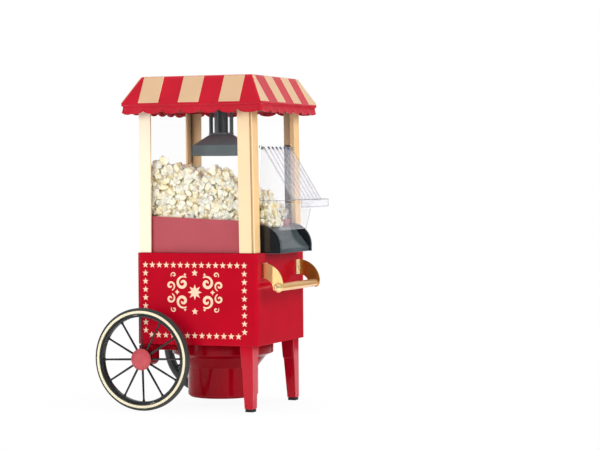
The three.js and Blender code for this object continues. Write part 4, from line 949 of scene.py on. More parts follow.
# %% Kettle hanger
hang_low, hang_high = limits("kettle_hanger")[4:]
flange_low = hang_high - 2.2
FEED_BORE = 5.8
form = bmesh.new()
for radius, low, high, ease, steps in (
    (7.3, hang_low, hang_high - 0.5, 0, 48),
    (24, flange_low, hang_high, 0.6, 96),
    (14.9, hang_low, hang_low + 2.4, 0.6, 96),
):
    disc = [(FEED_BORE, low), (radius, low, ease), (radius, high, ease), (FEED_BORE, high)]
    turned(form, eased(disc), steps, at=(axis_x, 0, 0))
for way in range(0, 360, 90):
    outside = circle(14.9, axis_x, 0, 6, way - 9.6, way + 9.6)
    inside = circle(12.1, axis_x, 0, 6, way + 11.9, way - 11.9)
    cut_out(form, outside + inside, hang_low + 1, flange_low + 1, "Z")
piece("kettle_hanger_shape", form, "cart", kettle_slate, "kettle_hanger", crease=40)

# %% [markdown]
# ## Chute
# The popped corn slides out over a slate ramp between two taller glossy black cheeks.
# Each cheek is a quarter round that hooks over the body's top edge. The ramp is level
# behind the outlet, then falls straight to an upright lip, and is open underneath.

# %% Chute
chute_x, _, chute_near, chute_far, chute_low, _ = limits("chute")
CHEEK = 2.6
CHUTE_CENTRE_X, CHUTE_CENTRE_Z, CHUTE_ROUND = 70.5, 190.2, 26
deck_z, body_edge = 183.8, 76.8
arc = circle(CHUTE_ROUND, CHUTE_CENTRE_X, CHUTE_CENTRE_Z, 32, 0, 90)
cheek = [(chute_x, deck_z), (body_edge, deck_z), (body_edge, chute_low),
         (CHUTE_CENTRE_X + CHUTE_ROUND, chute_low), *arc, (chute_x, CHUTE_CENTRE_Z + CHUTE_ROUND)]
form = bmesh.new()
for low in (chute_near, chute_far - CHEEK):
    cut_out(form, cheek, low, low + CHEEK)
piece("chute_cheeks", form, "cart", chute_black, "chute", bevel=0.5, segments=3)

# %% Slide
SLIDE_TOP, SLIDE_WALL, SLIDE_SEAT = 212.8, 2.4, CHEEK - 0.1
slide_low = SLIDE_TOP - SLIDE_WALL
slide = [(chute_x, SLIDE_TOP), (chute_x, slide_low), (72.4, slide_low, 3), (89.6, 187.4, 1),
         (91, chute_low), (93.6, chute_low, 0.4), (93.6, 187.6, 1.6), (73.6, SLIDE_TOP, 5)]
form = cut_out(bmesh.new(), eased(slide), chute_near + SLIDE_SEAT, chute_far - SLIDE_SEAT)
piece("chute_slide", form, "cart", slide_slate, crease=24, slot="black_plastic")
print("chute", round(chute_far - chute_near, 1), "mm wide")

# %% [markdown]
# ## Hood
# The clear hood is a ribbed sloping panel with two cheeks, a flat ledge at its foot and
# a hanging lip. It turns on a barrel between two clear stub pins, and a small clear flap
# hangs below it. It is drawn anew from its outlines with a solid barrel, because each
# clear skin that the light has to cross makes what is behind it darker.

# %% Hood and flap
PANEL_HALF, CHEEK_IN, BARREL_HALF, BARREL_RADIUS, PIVOT = 43, 41.4, 46, 3, (95.7, 238.6)
pin_x0, pin_x1, _, pin_end, _, _ = limits("hood_pin")
hinge_x, _, hinge_z = middle("hood_pin")
hinge = (hinge_x, 0, hinge_z)
pin_radius = (pin_x1 - pin_x0) / 2
panel = [(72.8, 307.3), (111, 245.1, 2), (120.8, 245.1, 1.2), (120.8, 236, 0.4),
         (119.2, 236, 0.4), (119.2, 243.5, 0.4), (109.4, 243.5), (70.8, hinge_z)]
hood_cheek = [(66.4, 243.5), *circle(3.6, *PIVOT, 16, 180, 360), (109.8, 243.5),
              (110.6, 244.8), (73.4, 306), (hinge_x, hinge_z), (hinge_x - 1.4, hinge_z - 2)]
form = cut_out(bmesh.new(), eased(panel), -PANEL_HALF, PANEL_HALF)
for low, high in ((-PANEL_HALF, -CHEEK_IN), (CHEEK_IN, PANEL_HALF)):
    cut_out(form, hood_cheek, low, high)
piece("hood_shape", form, "hood", hood_clear, "hood")
barrel = [(0, -BARREL_HALF), (BARREL_RADIUS, -BARREL_HALF, 0.4),
          (BARREL_RADIUS, BARREL_HALF, 0.4), (0, BARREL_HALF)]
form = turned(bmesh.new(), eased(barrel, closed=False), 32, "Y", hinge)
piece("hood_barrel", form, "hood", pane_clear, slot="clear_plastic")
softened("outlet_flap", hood_clear, 0.15, 2)
form = bmesh.new()
for end in (-1, 1):
    start = end * (BARREL_HALF + 0.2)
    pin = [(0, start), (pin_radius, start), (pin_radius, end * pin_end, 0.5),
           (0, end * pin_end)]
    turned(form, eased(pin, closed=False), 32, "Y", hinge)
piece("hood_pin_shape", form, "cart", pane_clear, "hood_pin")

# %% [markdown]
# ## Ribs and edges of the hood
# Clear plastic shows by its edges, where light that runs inside the sheet comes out.
# So fine ribs, their darker rounded ends and thin edge beads are laid over the sheet in
# greyer, less clear finishes: the grey is that light painted on, and the darker ends are
# painted shade.

# %% Ribs
HOOD_REACH, HOOD_DROP, HOOD_WALL, HOOD_LEDGE, HOOD_LIP, HOOD_RIBS = 39, 63, 1.6, 10.6, 7.5, 6
panel_top = (hinge_x + HOOD_WALL, hinge_z + HOOD_WALL / 2)
panel_foot = (hinge_x + HOOD_REACH + HOOD_WALL / 2, hinge_z - HOOD_DROP + HOOD_WALL)
ledge_x, ledge_z = hinge_x + HOOD_REACH + HOOD_LEDGE, panel_foot[1]
lip_z = ledge_z - HOOD_WALL - HOOD_LIP
SLOPE_OUT = (0.85, 0.53)


def rod(form, first, last, radius, steps=10):
    """A thin straight rod between two points."""
    first, last = Vector(first), Vector(last)
    side = (last - first).orthogonal().normalized()
    other = (last - first).normalized().cross(side)
    ends = []
    for end in (first, last):
        turns = [2 * math.pi * step / steps for step in range(steps)]
        ends.append([form.verts.new(end + (side * math.cos(t) + other * math.sin(t)) * radius)
                     for t in turns])
    for step in range(steps):
        nxt = (step + 1) % steps
        form.faces.new((ends[0][step], ends[0][nxt], ends[1][nxt], ends[1][step]))
    for end in ends:
        form.faces.new(end)
    return form


def panel_point(share, proud):
    """A point down the panel's outer face in (x, z), standing proud of it."""
    (x0, z0), (x1, z1) = panel_top, panel_foot
    return (x0 + (x1 - x0) * share + proud * SLOPE_OUT[0],
            z0 + (z1 - z0) * share + proud * SLOPE_OUT[1])


def panel_bar(form, y, half, start, end, sunk, proud):
    """A bar down the panel's outer face, at y, between two shares of its slope."""
    corners = ((start, sunk), (end, sunk), (end, proud), (start, proud))
    return cut_out(form, [panel_point(*corner) for corner in corners], y - half, y + half)


ribs, tips = bmesh.new(), bmesh.new()
for number in range(1, HOOD_RIBS + 1):
    y = -PANEL_HALF + number * 2 * PANEL_HALF / (HOOD_RIBS + 1)
    panel_bar(ribs, y, 0.55, 0.02, 0.99, 0, 1.1)
    panel_bar(tips, y, 0.9, 0.01, 0.055, -0.2, 1.4)
piece("hood_ribs", ribs, "hood", rib_clear, slot="clear_plastic", bevel=0.2)
piece("hood_rib_ends", tips, "hood", rib_tip, slot="clear_plastic", bevel=0.3)

# %% Edge beads
BEAD, THIN_BEAD, CROSS_BEAD, FLAP_BEAD = 0.6, 0.45, 0.5, 0.4
ledge_edge, lip_edge = (ledge_x - 0.5, ledge_z - 0.3), (ledge_x - 0.5, lip_z + 0.3)
foot_x, foot_z = panel_point(1, 0)
cheek_z = hinge_z - HOOD_DROP + 0.4
beads = bmesh.new()
for y in (-PANEL_HALF, PANEL_HALF):
    for (x0, z0), (x1, z1), radius in (
        (panel_point(0.02, 0), (foot_x, foot_z), BEAD),
        ((foot_x, foot_z), ledge_edge, THIN_BEAD),
        (ledge_edge, lip_edge, THIN_BEAD),
        ((68.5, cheek_z), (foot_x, cheek_z), THIN_BEAD),
    ):
        rod(beads, (x0, y, z0), (x1, y, z1), radius)
for x, z in (ledge_edge, (ledge_x - 0.6, lip_z + 0.4), panel_foot):
    rod(beads, (x, -PANEL_HALF, z), (x, PANEL_HALF, z), CROSS_BEAD)
piece("hood_edges", beads, "hood", edge_clear, slot="clear_plastic")

# %% Edges of the flap
flap_x0, flap_x1, _, _, flap_low, _ = limits("outlet_flap")
foot_x, foot_z = flap_x0 + 0.8, flap_low + 0.4
beads = bmesh.new()
for y in (-PANEL_HALF, PANEL_HALF):
    rod(beads, (flap_x1 - 0.7, y, 233.2), (foot_x, y, foot_z), FLAP_BEAD)
rod(beads, (foot_x, -PANEL_HALF, foot_z), (foot_x, PANEL_HALF, foot_z), FLAP_BEAD)
piece("flap_edges", beads, "flap", edge_clear, slot="clear_plastic")
print("hood hinge at x, z =", round(hinge_x, 1), round(hinge_z, 1), "with", HOOD_RIBS, "ribs")

# %% [markdown]
# ## Handle
# Two quarter-ring arms stand on the chute-end wall, each bent from one gilt plate with
# a foot flange, and a round bar joins them. The bar ends in ringed domed nuts. The
# plates are painted a darker bronze, as shade, on the sides that face each other.

# %% Handle arms
FACE_X, ARM_Z, BEND_X, FLANGE = 76.8, 146, 88.6, 12
arm_y = limits("handle_arm_near")[2]
BAR_X, _, BAR_Z = middle("handle_bar")
BAR_AT = (BAR_X, 0, BAR_Z)
ARM_OUT, ARM_WALL, SPLAY = -arm_y, 2, math.tan(math.radians(8.5))


def arm_outline():
    """The quarter ring in (x, z), with the eye that holds the bar."""
    outer = circle(26, FACE_X, ARM_Z, 28, 90, 0)
    eye = circle(5, BAR_X, BAR_Z, 10, 0, -90)
    inner = circle(13.3, FACE_X, ARM_Z - 5, 16, 0, 90)
    return [*outer, *eye, *inner]


def splayed(y, x):
    """Where the arm's outer part has moved sideways, past its upright bend."""
    return y + math.copysign(max(0, x - BEND_X) * SPLAY, y)


for side, name in ((-1, "near"), (1, "far")):
    low, high = sorted((side * ARM_OUT, side * (ARM_OUT - ARM_WALL)))
    form = cut_out(bmesh.new(), arm_outline(), low, high)
    whole = [*form.verts, *form.edges, *form.faces]
    bmesh.ops.bisect_plane(form, geom=whole, plane_co=(BEND_X, 0, 0), plane_no=(1, 0, 0))
    for vertex in form.verts:
        vertex.co.y = splayed(vertex.co.y, vertex.co.x)
    arm = piece(f"handle_arm_shape_{name}", form, "cart", [handle_gold, handle_shade_bronze],
                f"handle_arm_{name}", bevel=0.35, segments=3, crease=6)
    # Sides that face the other arm take the darker bronze, painted shade.
    for face in arm.data.polygons:
        if face.normal.y * side < -SAME_WAY:
            face.material_index = 1
    y, low, high = min(side * ARM_OUT, ARM_OUT - FLANGE), ARM_Z + 8.3, ARM_Z + 26
    foot = [(y, low), (y + FLANGE, low), (y + FLANGE, high), (y, high)]
    form = cut_out(bmesh.new(), foot, FACE_X, FACE_X + 1.6, "X")
    piece(f"handle_foot_{name}", form, "cart", foot_gold, slot="gold", bevel=0.35, segments=3)

# %% Handle bar, nuts and rivets
NUT_AT, BAR_HALF, BAR_RADIUS, TENON_RADIUS = splayed(ARM_OUT, BAR_X), 57.8, 4.6, 2.4
TENON_HALF, RIVET_Y, RIVET_Z = NUT_AT + 2, 52, ARM_Z + 16
NUT = [(2.5, 0), (5.6, 0, 0.4), (5.6, 1, 0.4), (4.6, 1.3, 0.3), (5, 1.7, 0.3),
       (4.7, 3.6, 1.6), (2.8, 5.5, 1.8), (0, 6.1), (0, 2.6), (2.5, 2.6)]
RIVET = [(0, FACE_X + 1.4), (3.1, FACE_X + 1.4), (3.1, FACE_X + 2.2, 0.4),
         (2, FACE_X + 3.6, 0.8), (0, FACE_X + 4)]
form = bmesh.new()
bar = [(0, -BAR_HALF), (BAR_RADIUS, -BAR_HALF, 0.6), (BAR_RADIUS, BAR_HALF, 0.6),
       (0, BAR_HALF)]
turned(form, eased(bar, closed=False), 48, "Y", BAR_AT)
tenon = [(0, -TENON_HALF), (TENON_RADIUS, -TENON_HALF), (TENON_RADIUS, TENON_HALF),
         (0, TENON_HALF)]
turned(form, tenon, 32, "Y", BAR_AT)
piece("handle_bar_shape", form, "cart", handle_gold, "handle_bar")
for side, name in ((-1, "near"), (1, "far")):
    outline = [(r, side * (d + NUT_AT)) for r, d in eased(NUT, closed=False)]
    form = turned(bmesh.new(), outline, 40, "Y", BAR_AT)
    piece(f"bar_nut_{name}", form, "cart", nut_gold, f"bar_end_{name}")
    outline = eased(RIVET, closed=False)
    form = turned(bmesh.new(), outline, 32, "X", (0, side * RIVET_Y, RIVET_Z))
    piece(f"handle_rivet_{name}", form, "cart", nut_gold, slot="gold")
print("handle bar at x, z =", round(BAR_X, 1), round(BAR_Z, 1))

# %% [markdown]
# ## Wheel-end fittings
# The rocker switch and the cord's gland sit in the wheel-end wall. The switch keeps its
# own shape with rounded edges, and the gland is turned with two soft rings.

# %% Switch and gland
softened("switch_case", chute_black, 0.4)
softened("switch_rocker", wheel_black, 0.4)
gland_start, gland_end = limits("cord_gland")[:2]
outline = eased([
    (3.2, gland_start), (4.3, gland_start, 0.5), (4.6, -82), (5.1, -81.4, 0.4),
    (5.1, -80.6, 0.4), (4.7, -80), (4.9, -79), (7.2, -78.6, 0.5), (7.2, -76.7, 0.4),
    (4.8, -76.7), (4.8, gland_end), (3.2, gland_end),
])
form = turned(bmesh.new(), outline, 48, "X", (0, *middle("cord_gland")[1:]))
piece("cord_gland_shape", form, "cart", wheel_black, "cord_gland")

# %% [markdown]
# ## Inside the body
# The blower, the heater and its wiring are closed in by the body and housing. Their
# plain solids stay as they are and only take finishes that suit them.

# %% Inner finishes
INNER = {
    "motor_mount": pin_steel, "fan_motor": pin_steel, "motor_shaft": pin_steel,
    "fan_impeller": wheel_black, "air_duct": pan_aluminium, "heater_former": mica_board,
    "heater_coil": pin_steel, "popping_chamber": pan_aluminium, "thermostat": chute_black,
    "thermal_fuse": case_plastic, "terminal_block": case_plastic, "axle_near": pin_steel,
    "axle_far": pin_steel,
}
for node, material in INNER.items():
    nodes[node].data.materials.clear()
    nodes[node].data.materials.append(material)
print("inner pieces dressed:", len(INNER))

# %% [markdown]
# ## Sign
# The wall under the cabin is edged with small cream stars, as fairground carts are. In
# its middle stands a plain ornament of scrolls round a star. All of it is raised print,
# a few tenths of a millimetre thick.

# %% Stars
SIGN_Y, PRINT_PROUD, PRINT_SUNK, STAR = -74.5, 0.35, 0.3, 3.95


def star_points(x, z, outer, inner_share=0.42, points=5):
    """The outline of a star with one point upwards."""
    corners = []
    for i in range(2 * points):
        radius = outer if i % 2 == 0 else outer * inner_share
        angle = math.radians(90 + 180 * i / points)
        corners.append((x + radius * math.cos(angle), z + radius * math.sin(angle)))
    return corners


def printed(name, outlines, finish):
    """Flat shapes of (x, z) points raised on the sign wall."""
    form = bmesh.new()
    for outline in outlines:
        cut_out(form, outline, SIGN_Y - PRINT_PROUD, SIGN_Y + PRINT_SUNK)
    return piece(name, form, "cart", finish, crease=20, slot="cream_plastic")


ROW_TOP, ROW_LOW, COLUMN_LOW = 169.5, 87.4, 92.6
stars = [(-65.1 + 126 * i / 14, ROW_TOP) for i in range(15)]
stars += [(-57.8 + 111 * i / 12, ROW_LOW) for i in range(13)]
stars += [(x, ROW_TOP - (ROW_TOP - COLUMN_LOW) * i / 8)
          for x in (-65.1, 60.9) for i in range(1, 9)]
printed("sign_stars", [star_points(x, z, STAR) for x, z in stars], sign_cream)
print("stars on the sign:", len(stars))


# %% Scrolls
def ribbon(path, widths):
    """A flat band along a path, thick where widths says."""
    left, right = [], []
    for i, point in enumerate(path):
        here = Vector(point)
        after, before = Vector(path[min(i + 1, len(path) - 1)]), Vector(path[max(i - 1, 0)])
        along = (after - before).normalized()
        across = Vector((-along.y, along.x)) * widths[i] / 2
        left.append(tuple(here + across))
        right.append(tuple(here - across))
    return left + right[::-1]


SCROLL_STEPS = 44


def scroll(x, z, size, hand, lift, turns):
    """A tapering volute that uncurls from (x, z)."""
    path, widths = [], []
    for i in range(SCROLL_STEPS + 1):
        share = i / SCROLL_STEPS
        angle = share * turns * 2 * math.pi
        radius = size * (0.16 + 0.84 * share**1.15)
        path.append((x + hand * radius * math.cos(angle), z + lift * radius * math.sin(angle)))
        widths.append(size * (0.16 + 0.26 * math.sin(math.pi * share) ** 0.8))
    return ribbon(path, widths)


# %% Ornament
SIGN_X, SIGN_Z, FAT = -1.8, 138, 0.5
ornament = [star_points(SIGN_X, SIGN_Z + up, size, FAT, points)
            for up, size, points in ((0, 9, 8), (22.5, 4, 5), (-22.5, 4, 5))]
for hand in (-1, 1):
    for lift in (-1, 1):
        for out, up, size, turned_out, turned_up, turns in (
            (15.5, 10.5, 8.2, hand, lift, 1.35),
            (31, 7.5, 5.8, -hand, -lift, 1.2),
            (27, 20, 3.6, hand, -lift, 1.1),
        ):
            x, z = SIGN_X + hand * out, SIGN_Z + lift * up
            ornament.append(scroll(x, z, size, turned_out, turned_up, turns))
    for out, up, size in ((22.6, 0, 3), (12.5, 20.4, 2), (12.5, -20.4, 2)):
        ornament.append(star_points(SIGN_X + hand * out, SIGN_Z + up, size, FAT, 4))
printed("sign_ornament", ornament, sign_cream)

# %% [markdown]
# ## Popcorn
# Popped corn is the liveliest thing on the cart. A burst kernel is a knot of rounded
# lobes round a scrap of brown hull. Eighteen different flakes are grown from fine
# spheres by pushing lobes out of them, and the heap is built from copies of these,
# each turned its own way. Only the outer layers of the heap are flakes, over a lumpy
# core, because the rest is never seen. Two attributes colour a flake: how deep a place
# lies between lobes, which is painted a golden shade, and where the hull clings.

# %% One flake
FLAKE_KINDS, CURDS = 18, 26
LOBES, LOBE_OUT, LOBE_RADIUS = (5, 9), (0.34, 0.66), (0.26, 0.4)
CURD_RADIUS, HEART_RADIUS = (0.12, 0.22), 0.3
CREASE_WIDTH, HULL_TIGHTNESS = 0.08, 14
dice = np.random.default_rng(41)
ball = bmesh.new()
bmesh.ops.create_icosphere(ball, subdivisions=4, radius=1)
BALL_WAYS = np.array([vertex.co.normalized() for vertex in ball.verts])
BALL_FACES = np.array([[vertex.index for vertex in face.verts] for face in ball.faces])
ball.free()


def ways(count):
    """Directions thrown evenly over a sphere, one a row."""
    thrown = dice.normal(size=(count, 3))
    return thrown / np.linalg.norm(thrown, axis=1, keepdims=True)


def burst_flake():
    """Points, crease and hull of one flake about 1 in radius, as a union of balls."""
    lobes = int(dice.integers(*LOBES))
    middles = ways(lobes) * dice.uniform(*LOBE_OUT, (lobes, 1))
    radii = dice.uniform(*LOBE_RADIUS, lobes)
    parents = dice.integers(0, lobes, CURDS)
    curds = middles[parents] + ways(CURDS) * radii[parents, None] * 0.8
    centres = np.vstack((middles, curds, np.zeros((1, 3))))
    sizes = np.concatenate((radii, dice.uniform(*CURD_RADIUS, CURDS), (HEART_RADIUS,)))
    along = BALL_WAYS @ centres.T
    root = along**2 - (centres**2).sum(1) + sizes**2
    reach = np.where(root > 0, along + np.sqrt(np.maximum(root, 0)), 0)
    order = np.sort(reach, axis=1)
    crease = 1 - np.clip((order[:, -1] - order[:, -2]) / CREASE_WIDTH, 0, 1)
    depth = np.clip(0.45 * crease + np.clip(0.62 - order[:, -1], 0, 0.4) * 2, 0, 1)
    nick = np.exp(HULL_TIGHTNESS * (BALL_WAYS @ ways(1)[0] - 1))
    hull = nick * np.clip(1.2 - order[:, -1], 0, 1)
    return BALL_WAYS * order[:, -1:], depth, hull


flakes = [burst_flake() for _ in range(FLAKE_KINDS)]
print("flake kinds:", len(flakes), "of", len(BALL_WAYS), "points")

# %% [markdown]
# ## The lie of the heap
# The heap leans against the panes. Its height is set at a few places and blended
# between them, so that it crests behind the sign-side pane and falls away to the
# chute, where a few flakes lie on the slide.

# %% Heap heights
HEAP = np.array([
    (-68, -60, 288), (-58, -60, 292), (-49, -60, 297), (-34, -60, 291), (-21, -60, 287),
    (-8, -60, 284), (2, -60, 277), (11, -60, 283), (20, -60, 292), (32, -60, 284), (43, -60, 270),
    (58, -60, 262), (-62, 0, 284), (-40, 0, 287), (-15, 0, 281), (10, 0, 274), (35, 0, 266),
    (56, 0, 259), (-62, 60, 270), (-30, 60, 272), (0, 60, 264), (35, 60, 252), (56, 40, 243),
    (62, 60, 240),
])
IN_X, IN_Y, BIN_FLOOR, BLEND = (-65.5, 62.5), (-65.5, 65.5), 190, 30
FLAKE_SIZE, PITCH, SKIN, BELOW_TOP, JITTER = 8.8, 7.8, 11, 6, 3
SPILL = [(69, y, 219) for y in range(-38, 14, 9)] + [(70, y, 228) for y in range(-36, 8, 9)]
SPILL += [(70, y, 237) for y in range(-34, 0, 10)]
SPILL += [(77.5, y, 218) for y in range(-36, -8, 10)]


def heap_height(x, y):
    """The heap's height at a place, where each known height counts more the nearer it is."""
    near = 1 / ((x - HEAP[:, 0]) ** 2 + (y - HEAP[:, 1]) ** 2 + BLEND) ** 2
    return float((near * HEAP[:, 2]).sum() / near.sum())


def heap_places():
    """Places in the heap's outer layers, jittered from a close grid."""
    for z in np.arange(BIN_FLOOR + 30, 300, PITCH):
        for y in np.arange(IN_Y[0] + 5, IN_Y[1] - 4, PITCH):
            for x in np.arange(IN_X[0] + 5, IN_X[1] - 4, PITCH):
                place = np.array((x, y, z)) + dice.uniform(-JITTER, JITTER, 3)
                top = heap_height(place[0], place[1]) - BELOW_TOP
                wall = min(place[0] - IN_X[0], IN_X[1] - place[0],
                           place[1] - IN_Y[0], IN_Y[1] - place[1])
                if place[2] < top and (wall < SKIN or place[2] > top - SKIN):
                    yield place


def spill_places():
    """The few flakes that have slid through the outlet on to the ramp."""
    for x, y, z in SPILL:
        yield np.array((x, y, z)) + dice.uniform(-1.2, 1.2, 3)


# %% Growing a heap
def spins(count):
    """Rotation matrices thrown evenly, from quaternions that need not be of length one."""
    w, x, y, z = dice.normal(size=(count, 4)).T
    scale = 2 / (w * w + x * x + y * y + z * z)
    rows = (
        (1 - scale * (y * y + z * z), scale * (x * y - w * z), scale * (x * z + w * y)),
        (scale * (x * y + w * z), 1 - scale * (x * x + z * z), scale * (y * z - w * x)),
        (scale * (x * z - w * y), scale * (y * z + w * x), 1 - scale * (x * x + y * y)),
    )
    return np.array(rows).transpose(2, 0, 1)


def grow_heap(name, places, low, high):
    """One mesh of flakes at the places, kept between the corners low and high."""
    vertices, faces, depths, hulls = [], [], [], []
    for number, (place, spin) in enumerate(zip(places, spins(len(places)))):
        points, depth, hull = flakes[dice.integers(FLAKE_KINDS)]
        grow = FLAKE_SIZE * dice.uniform(0.78, 1.12) * dice.uniform(0.85, 1.15, 3)
        vertices.append(np.clip((points * grow) @ spin.T + place, low, high) * MM)
        faces.append(BALL_FACES + number * len(points))
        depths.append(depth)
        hulls.append(hull * dice.choice((0.2, 1.0), p=(0.35, 0.65)))
    mesh = bpy.data.meshes.new(name)
    mesh.from_pydata(np.concatenate(vertices).tolist(), [], np.concatenate(faces).tolist())
    for label, values in (("depth", depths), ("hull", hulls)):
        spots = mesh.attributes.new(label, "FLOAT", "POINT")
        spots.data.foreach_set("value", np.concatenate(values).astype(np.float32))
    mesh.shade_smooth()
    return dressed(name, mesh, "cart", corn_white)


# %% [markdown]
# ## How the corn looks
# Popped corn is a soft foam, so light sinks into it and comes out again nearby. It is
# white with patches of butter and brown where hull clings, and the places between the
# lobes are painted golder as warm shade. The core under the flakes has the same look.

# %% Popcorn material
corn_white, tree, surface = new_finish("corn_white")
crease_shade_mask = add_node(tree, "ShaderNodeAttribute", attribute_name="depth").outputs["Fac"]
hull_mask = add_node(tree, "ShaderNodeAttribute", attribute_name="hull").outputs["Fac"]
butter = ranged(tree, noise_of(tree, 75, 3), 0, 1, 0.43, 0.64)
base = mixed(tree, butter, paint(255, 252, 233), paint(254, 238, 198))
# Between the lobes the corn is painted golden tan, a warm painted shade.
shaded = mixed(tree, ranged(tree, crease_shade_mask, 0, 0.95, 0.25, 0.85), base, paint(240, 206, 136))
brown = mixed(tree, ranged(tree, hull_mask, 0, 0.85, 0.3, 0.6), shaded, paint(190, 122, 60))
tree.links.new(brown, surface.inputs["Base Color"])
tree.links.new(ranged(tree, noise_of(tree, 200), 0.5, 0.75), surface.inputs["Roughness"])
surface.inputs["Subsurface Weight"].default_value = 0.5
surface.inputs["Subsurface Radius"].default_value = (1, 0.85, 0.6)
surface.inputs["Subsurface Scale"].default_value = 0.004
roughen(tree, surface, noise_of(tree, 420, 3), 0.5, 0.001)

# %% The heap's core
CORE_FOOT = 20


def heap_core(name, inset, drop, step):
    """A lumpy block just under the flakes, so that the gaps between them show more corn."""
    form = bmesh.new()
    xs, ys = (np.arange(low + inset, high - inset, step) for low, high in (IN_X, IN_Y))
    top = [
        [form.verts.new((x, y, heap_height(x, y) - drop + dice.uniform(-1.5, 1.5)))
         for y in ys] for x in xs
    ]
    low = [[form.verts.new((x, y, BIN_FLOOR + CORE_FOOT)) for y in ys] for x in xs]
    for i in range(len(xs) - 1):
        for j in range(len(ys) - 1):
            form.faces.new((top[i][j], top[i + 1][j], top[i + 1][j + 1], top[i][j + 1]))
            form.faces.new((low[i][j], low[i][j + 1], low[i + 1][j + 1], low[i + 1][j]))
    for i in range(len(xs) - 1):
        for j in (0, -1):
            form.faces.new((top[i][j], top[i + 1][j], low[i + 1][j], low[i][j]))
    for j in range(len(ys) - 1):
        for i in (0, -1):
            form.faces.new((top[i][j], top[i][j + 1], low[i][j + 1], low[i][j]))
    return piece(name, form, "cart", corn_white, crease=60)


# %% The heap
BANDS = (-80, -54, -40, -10, 20, 50, 80)
CLEAR, NO_LID = 0.3, 400
cabin_low = np.array((IN_X[0] + CLEAR, IN_Y[0] + CLEAR, 0))
cabin_high = np.array((IN_X[1], IN_Y[1] - CLEAR, NO_LID))
slide_low, slide_high = np.array((64, -43.5, 213)), np.array((88, 43.5, NO_LID))
places = list(heap_places())
for number, (start, end) in enumerate(zip(BANDS, BANDS[1:]), 1):
    share = [place for place in places if start <= place[1] < end]
    grow_heap(f"popcorn_heap_{number}", share, cabin_low, cabin_high)
heap_core("popcorn_core", 7, 13, 4)
grow_heap("popcorn_spill", list(spill_places()), slide_low, slide_high)
print("flakes in the heap:", len(places))

# %% [markdown]
# ## Floor and backdrop
# The cart stands on a plain white floor in a white studio. What the camera sees of the
# floor is lifted almost to pure white, and only the cart's soft shadow is left on it.

# %% Floor
FLOOR_REACH, FLOOR_SUNK = 0.8, 0.0002
GLOW_NEAR, GLOW_FAR, GLOW_START, GLOW_END = 0.93, 1.0, 0.12, 0.55


def seen_directly(tree, rays):
    """One for what the camera sees, also through clear plastic, and otherwise nothing."""
    either = add_node(tree, "ShaderNodeMath", operation="MAXIMUM")
    tree.links.new(rays.outputs["Is Camera Ray"], either.inputs[0])
    tree.links.new(rays.outputs["Is Transmission Ray"], either.inputs[1])
    return either.outputs["Value"]


def blended(tree, share, first, second, out):
    """Sends a blend of two shaders to the output."""
    blend = add_node(tree, "ShaderNodeMixShader")
    tree.links.new(share, blend.inputs["Fac"])
    tree.links.new(first, blend.inputs[1])
    tree.links.new(second, blend.inputs[2])
    tree.links.new(blend.outputs["Shader"], out.inputs["Surface"])


form = bmesh.new()
rim = circle(FLOOR_REACH, 0, 0, 96)
form.faces.new([form.verts.new((x, y, -FLOOR_SUNK)) for x, y in rim])
floor_mesh = mesh_of(form, "floor")
floor = bpy.data.objects.new("floor", floor_mesh)
bpy.context.scene.collection.objects.link(floor)

# %% Floor finish
floor_white, tree, _ = new_finish("floor_white")
tree.nodes.clear()
out = add_node(tree, "ShaderNodeOutputMaterial")
dull = add_node(tree, "ShaderNodeBsdfDiffuse")
cloud = ranged(tree, noise_of(tree, 3), 0, 1)
whites = mixed(tree, cloud, paint(246, 246, 246), paint(250, 250, 250))
tree.links.new(whites, dull.inputs["Color"])
glow = add_node(tree, "ShaderNodeEmission")
seen = seen_directly(tree, add_node(tree, "ShaderNodeLightPath"))
place = add_node(tree, "ShaderNodeTexCoord")
away = add_node(tree, "ShaderNodeVectorMath", operation="LENGTH")
tree.links.new(place.outputs["Object"], away.inputs[0])
bright = ranged(tree, away.outputs["Value"], GLOW_NEAR, GLOW_FAR, GLOW_START, GLOW_END)
share = add_node(tree, "ShaderNodeMath", operation="MULTIPLY")
tree.links.new(bright, share.inputs[0])
tree.links.new(seen, share.inputs[1])
blended(tree, share.outputs["Value"], dull.outputs["BSDF"], glow.outputs["Emission"], out)
floor_mesh.materials.append(floor_white)

# %% [markdown]
# ## Studio light
# Glossy red plastic shows whatever stands round it. So the room that reflections see is
# white behind and above the cart and dark in front, which keeps the sign wall deep red
# and lays a pale sheen on the slopes and the chute-end wall. Soft light without a
# direction fills the shadows, and the camera sees plain white. Of the lamps only a
# narrow strip shows in the plastic.

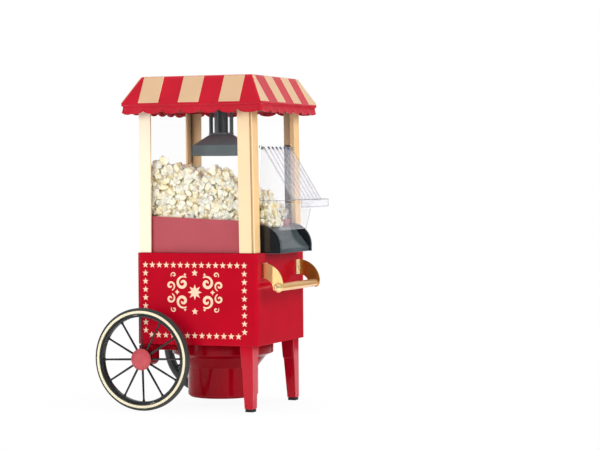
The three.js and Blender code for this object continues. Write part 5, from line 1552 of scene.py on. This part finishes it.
# %% Room
AMBIENT, ROOM_TOP = 0.46, (0, 0.5, 0.9)
world = bpy.data.worlds.new("studio")
bpy.context.scene.world = world
world.use_nodes = True
tree = world.node_tree
tree.nodes.clear()
out = add_node(tree, "ShaderNodeOutputWorld")
place = add_node(tree, "ShaderNodeTexCoord")
toward = add_node(tree, "ShaderNodeVectorMath", operation="DOT_PRODUCT")
toward.inputs[1].default_value = ROOM_TOP
tree.links.new(place.outputs["Generated"], toward.inputs[0])
mirrored = ranged(tree, toward.outputs["Value"], 0.1, 0.85, 0.4, 0.95)
rays = add_node(tree, "ShaderNodeLightPath")
strength = add_node(tree, "ShaderNodeMix")
strength.inputs["A"].default_value = AMBIENT
tree.links.new(rays.outputs["Is Glossy Ray"], strength.inputs["Factor"])
tree.links.new(mirrored, strength.inputs["B"])
room = add_node(tree, "ShaderNodeBackground")
room.inputs["Color"].default_value = paint(250, 251, 255)
tree.links.new(strength.outputs["Result"], room.inputs["Strength"])
white = add_node(tree, "ShaderNodeBackground")
white.inputs["Color"].default_value = (1, 1, 1, 1)
seen = seen_directly(tree, rays)
blended(tree, seen, room.outputs["Background"], white.outputs["Background"], out)

# %% Lamps
LAMP_AIM = Vector((0, 0, 0.2))


def lamp(name, place, size, watts, glossy=True):
    """A flat lamp of (width, height), which shows in glossy surfaces only where told."""
    data = bpy.data.lights.new(name, "AREA")
    data.shape = "RECTANGLE"
    data.size, data.size_y = size
    data.energy = watts
    made = bpy.data.objects.new(name, data)
    bpy.context.scene.collection.objects.link(made)
    made.location = place
    made.rotation_mode = "QUATERNION"
    made.rotation_quaternion = (LAMP_AIM - Vector(place)).to_track_quat("-Z", "Y")
    made.visible_glossy = glossy


lamp("key", (-0.55, -2.65, 0.85), (1.5, 1.4), 32.5, glossy=False)
lamp("right", (2.05, -0.2, 1.15), (1.2, 1.4), 33, glossy=False)
lamp("overhead", (0.0, 0.3, 2.2), (1.6, 1.2), 16, glossy=False)
lamp("left_rim", (-2.0, 0.8, 1.2), (1.0, 1.4), 14, glossy=False)
lamp("strip", (-1.36, -1.72, 0.5), (0.3, 1.7), 4.8)

# %% [markdown]
# ## Colour view
# The picture keeps Blender's standard view of colour.

# %% Finish
bpy.context.scene.view_settings.view_transform = "Standard"
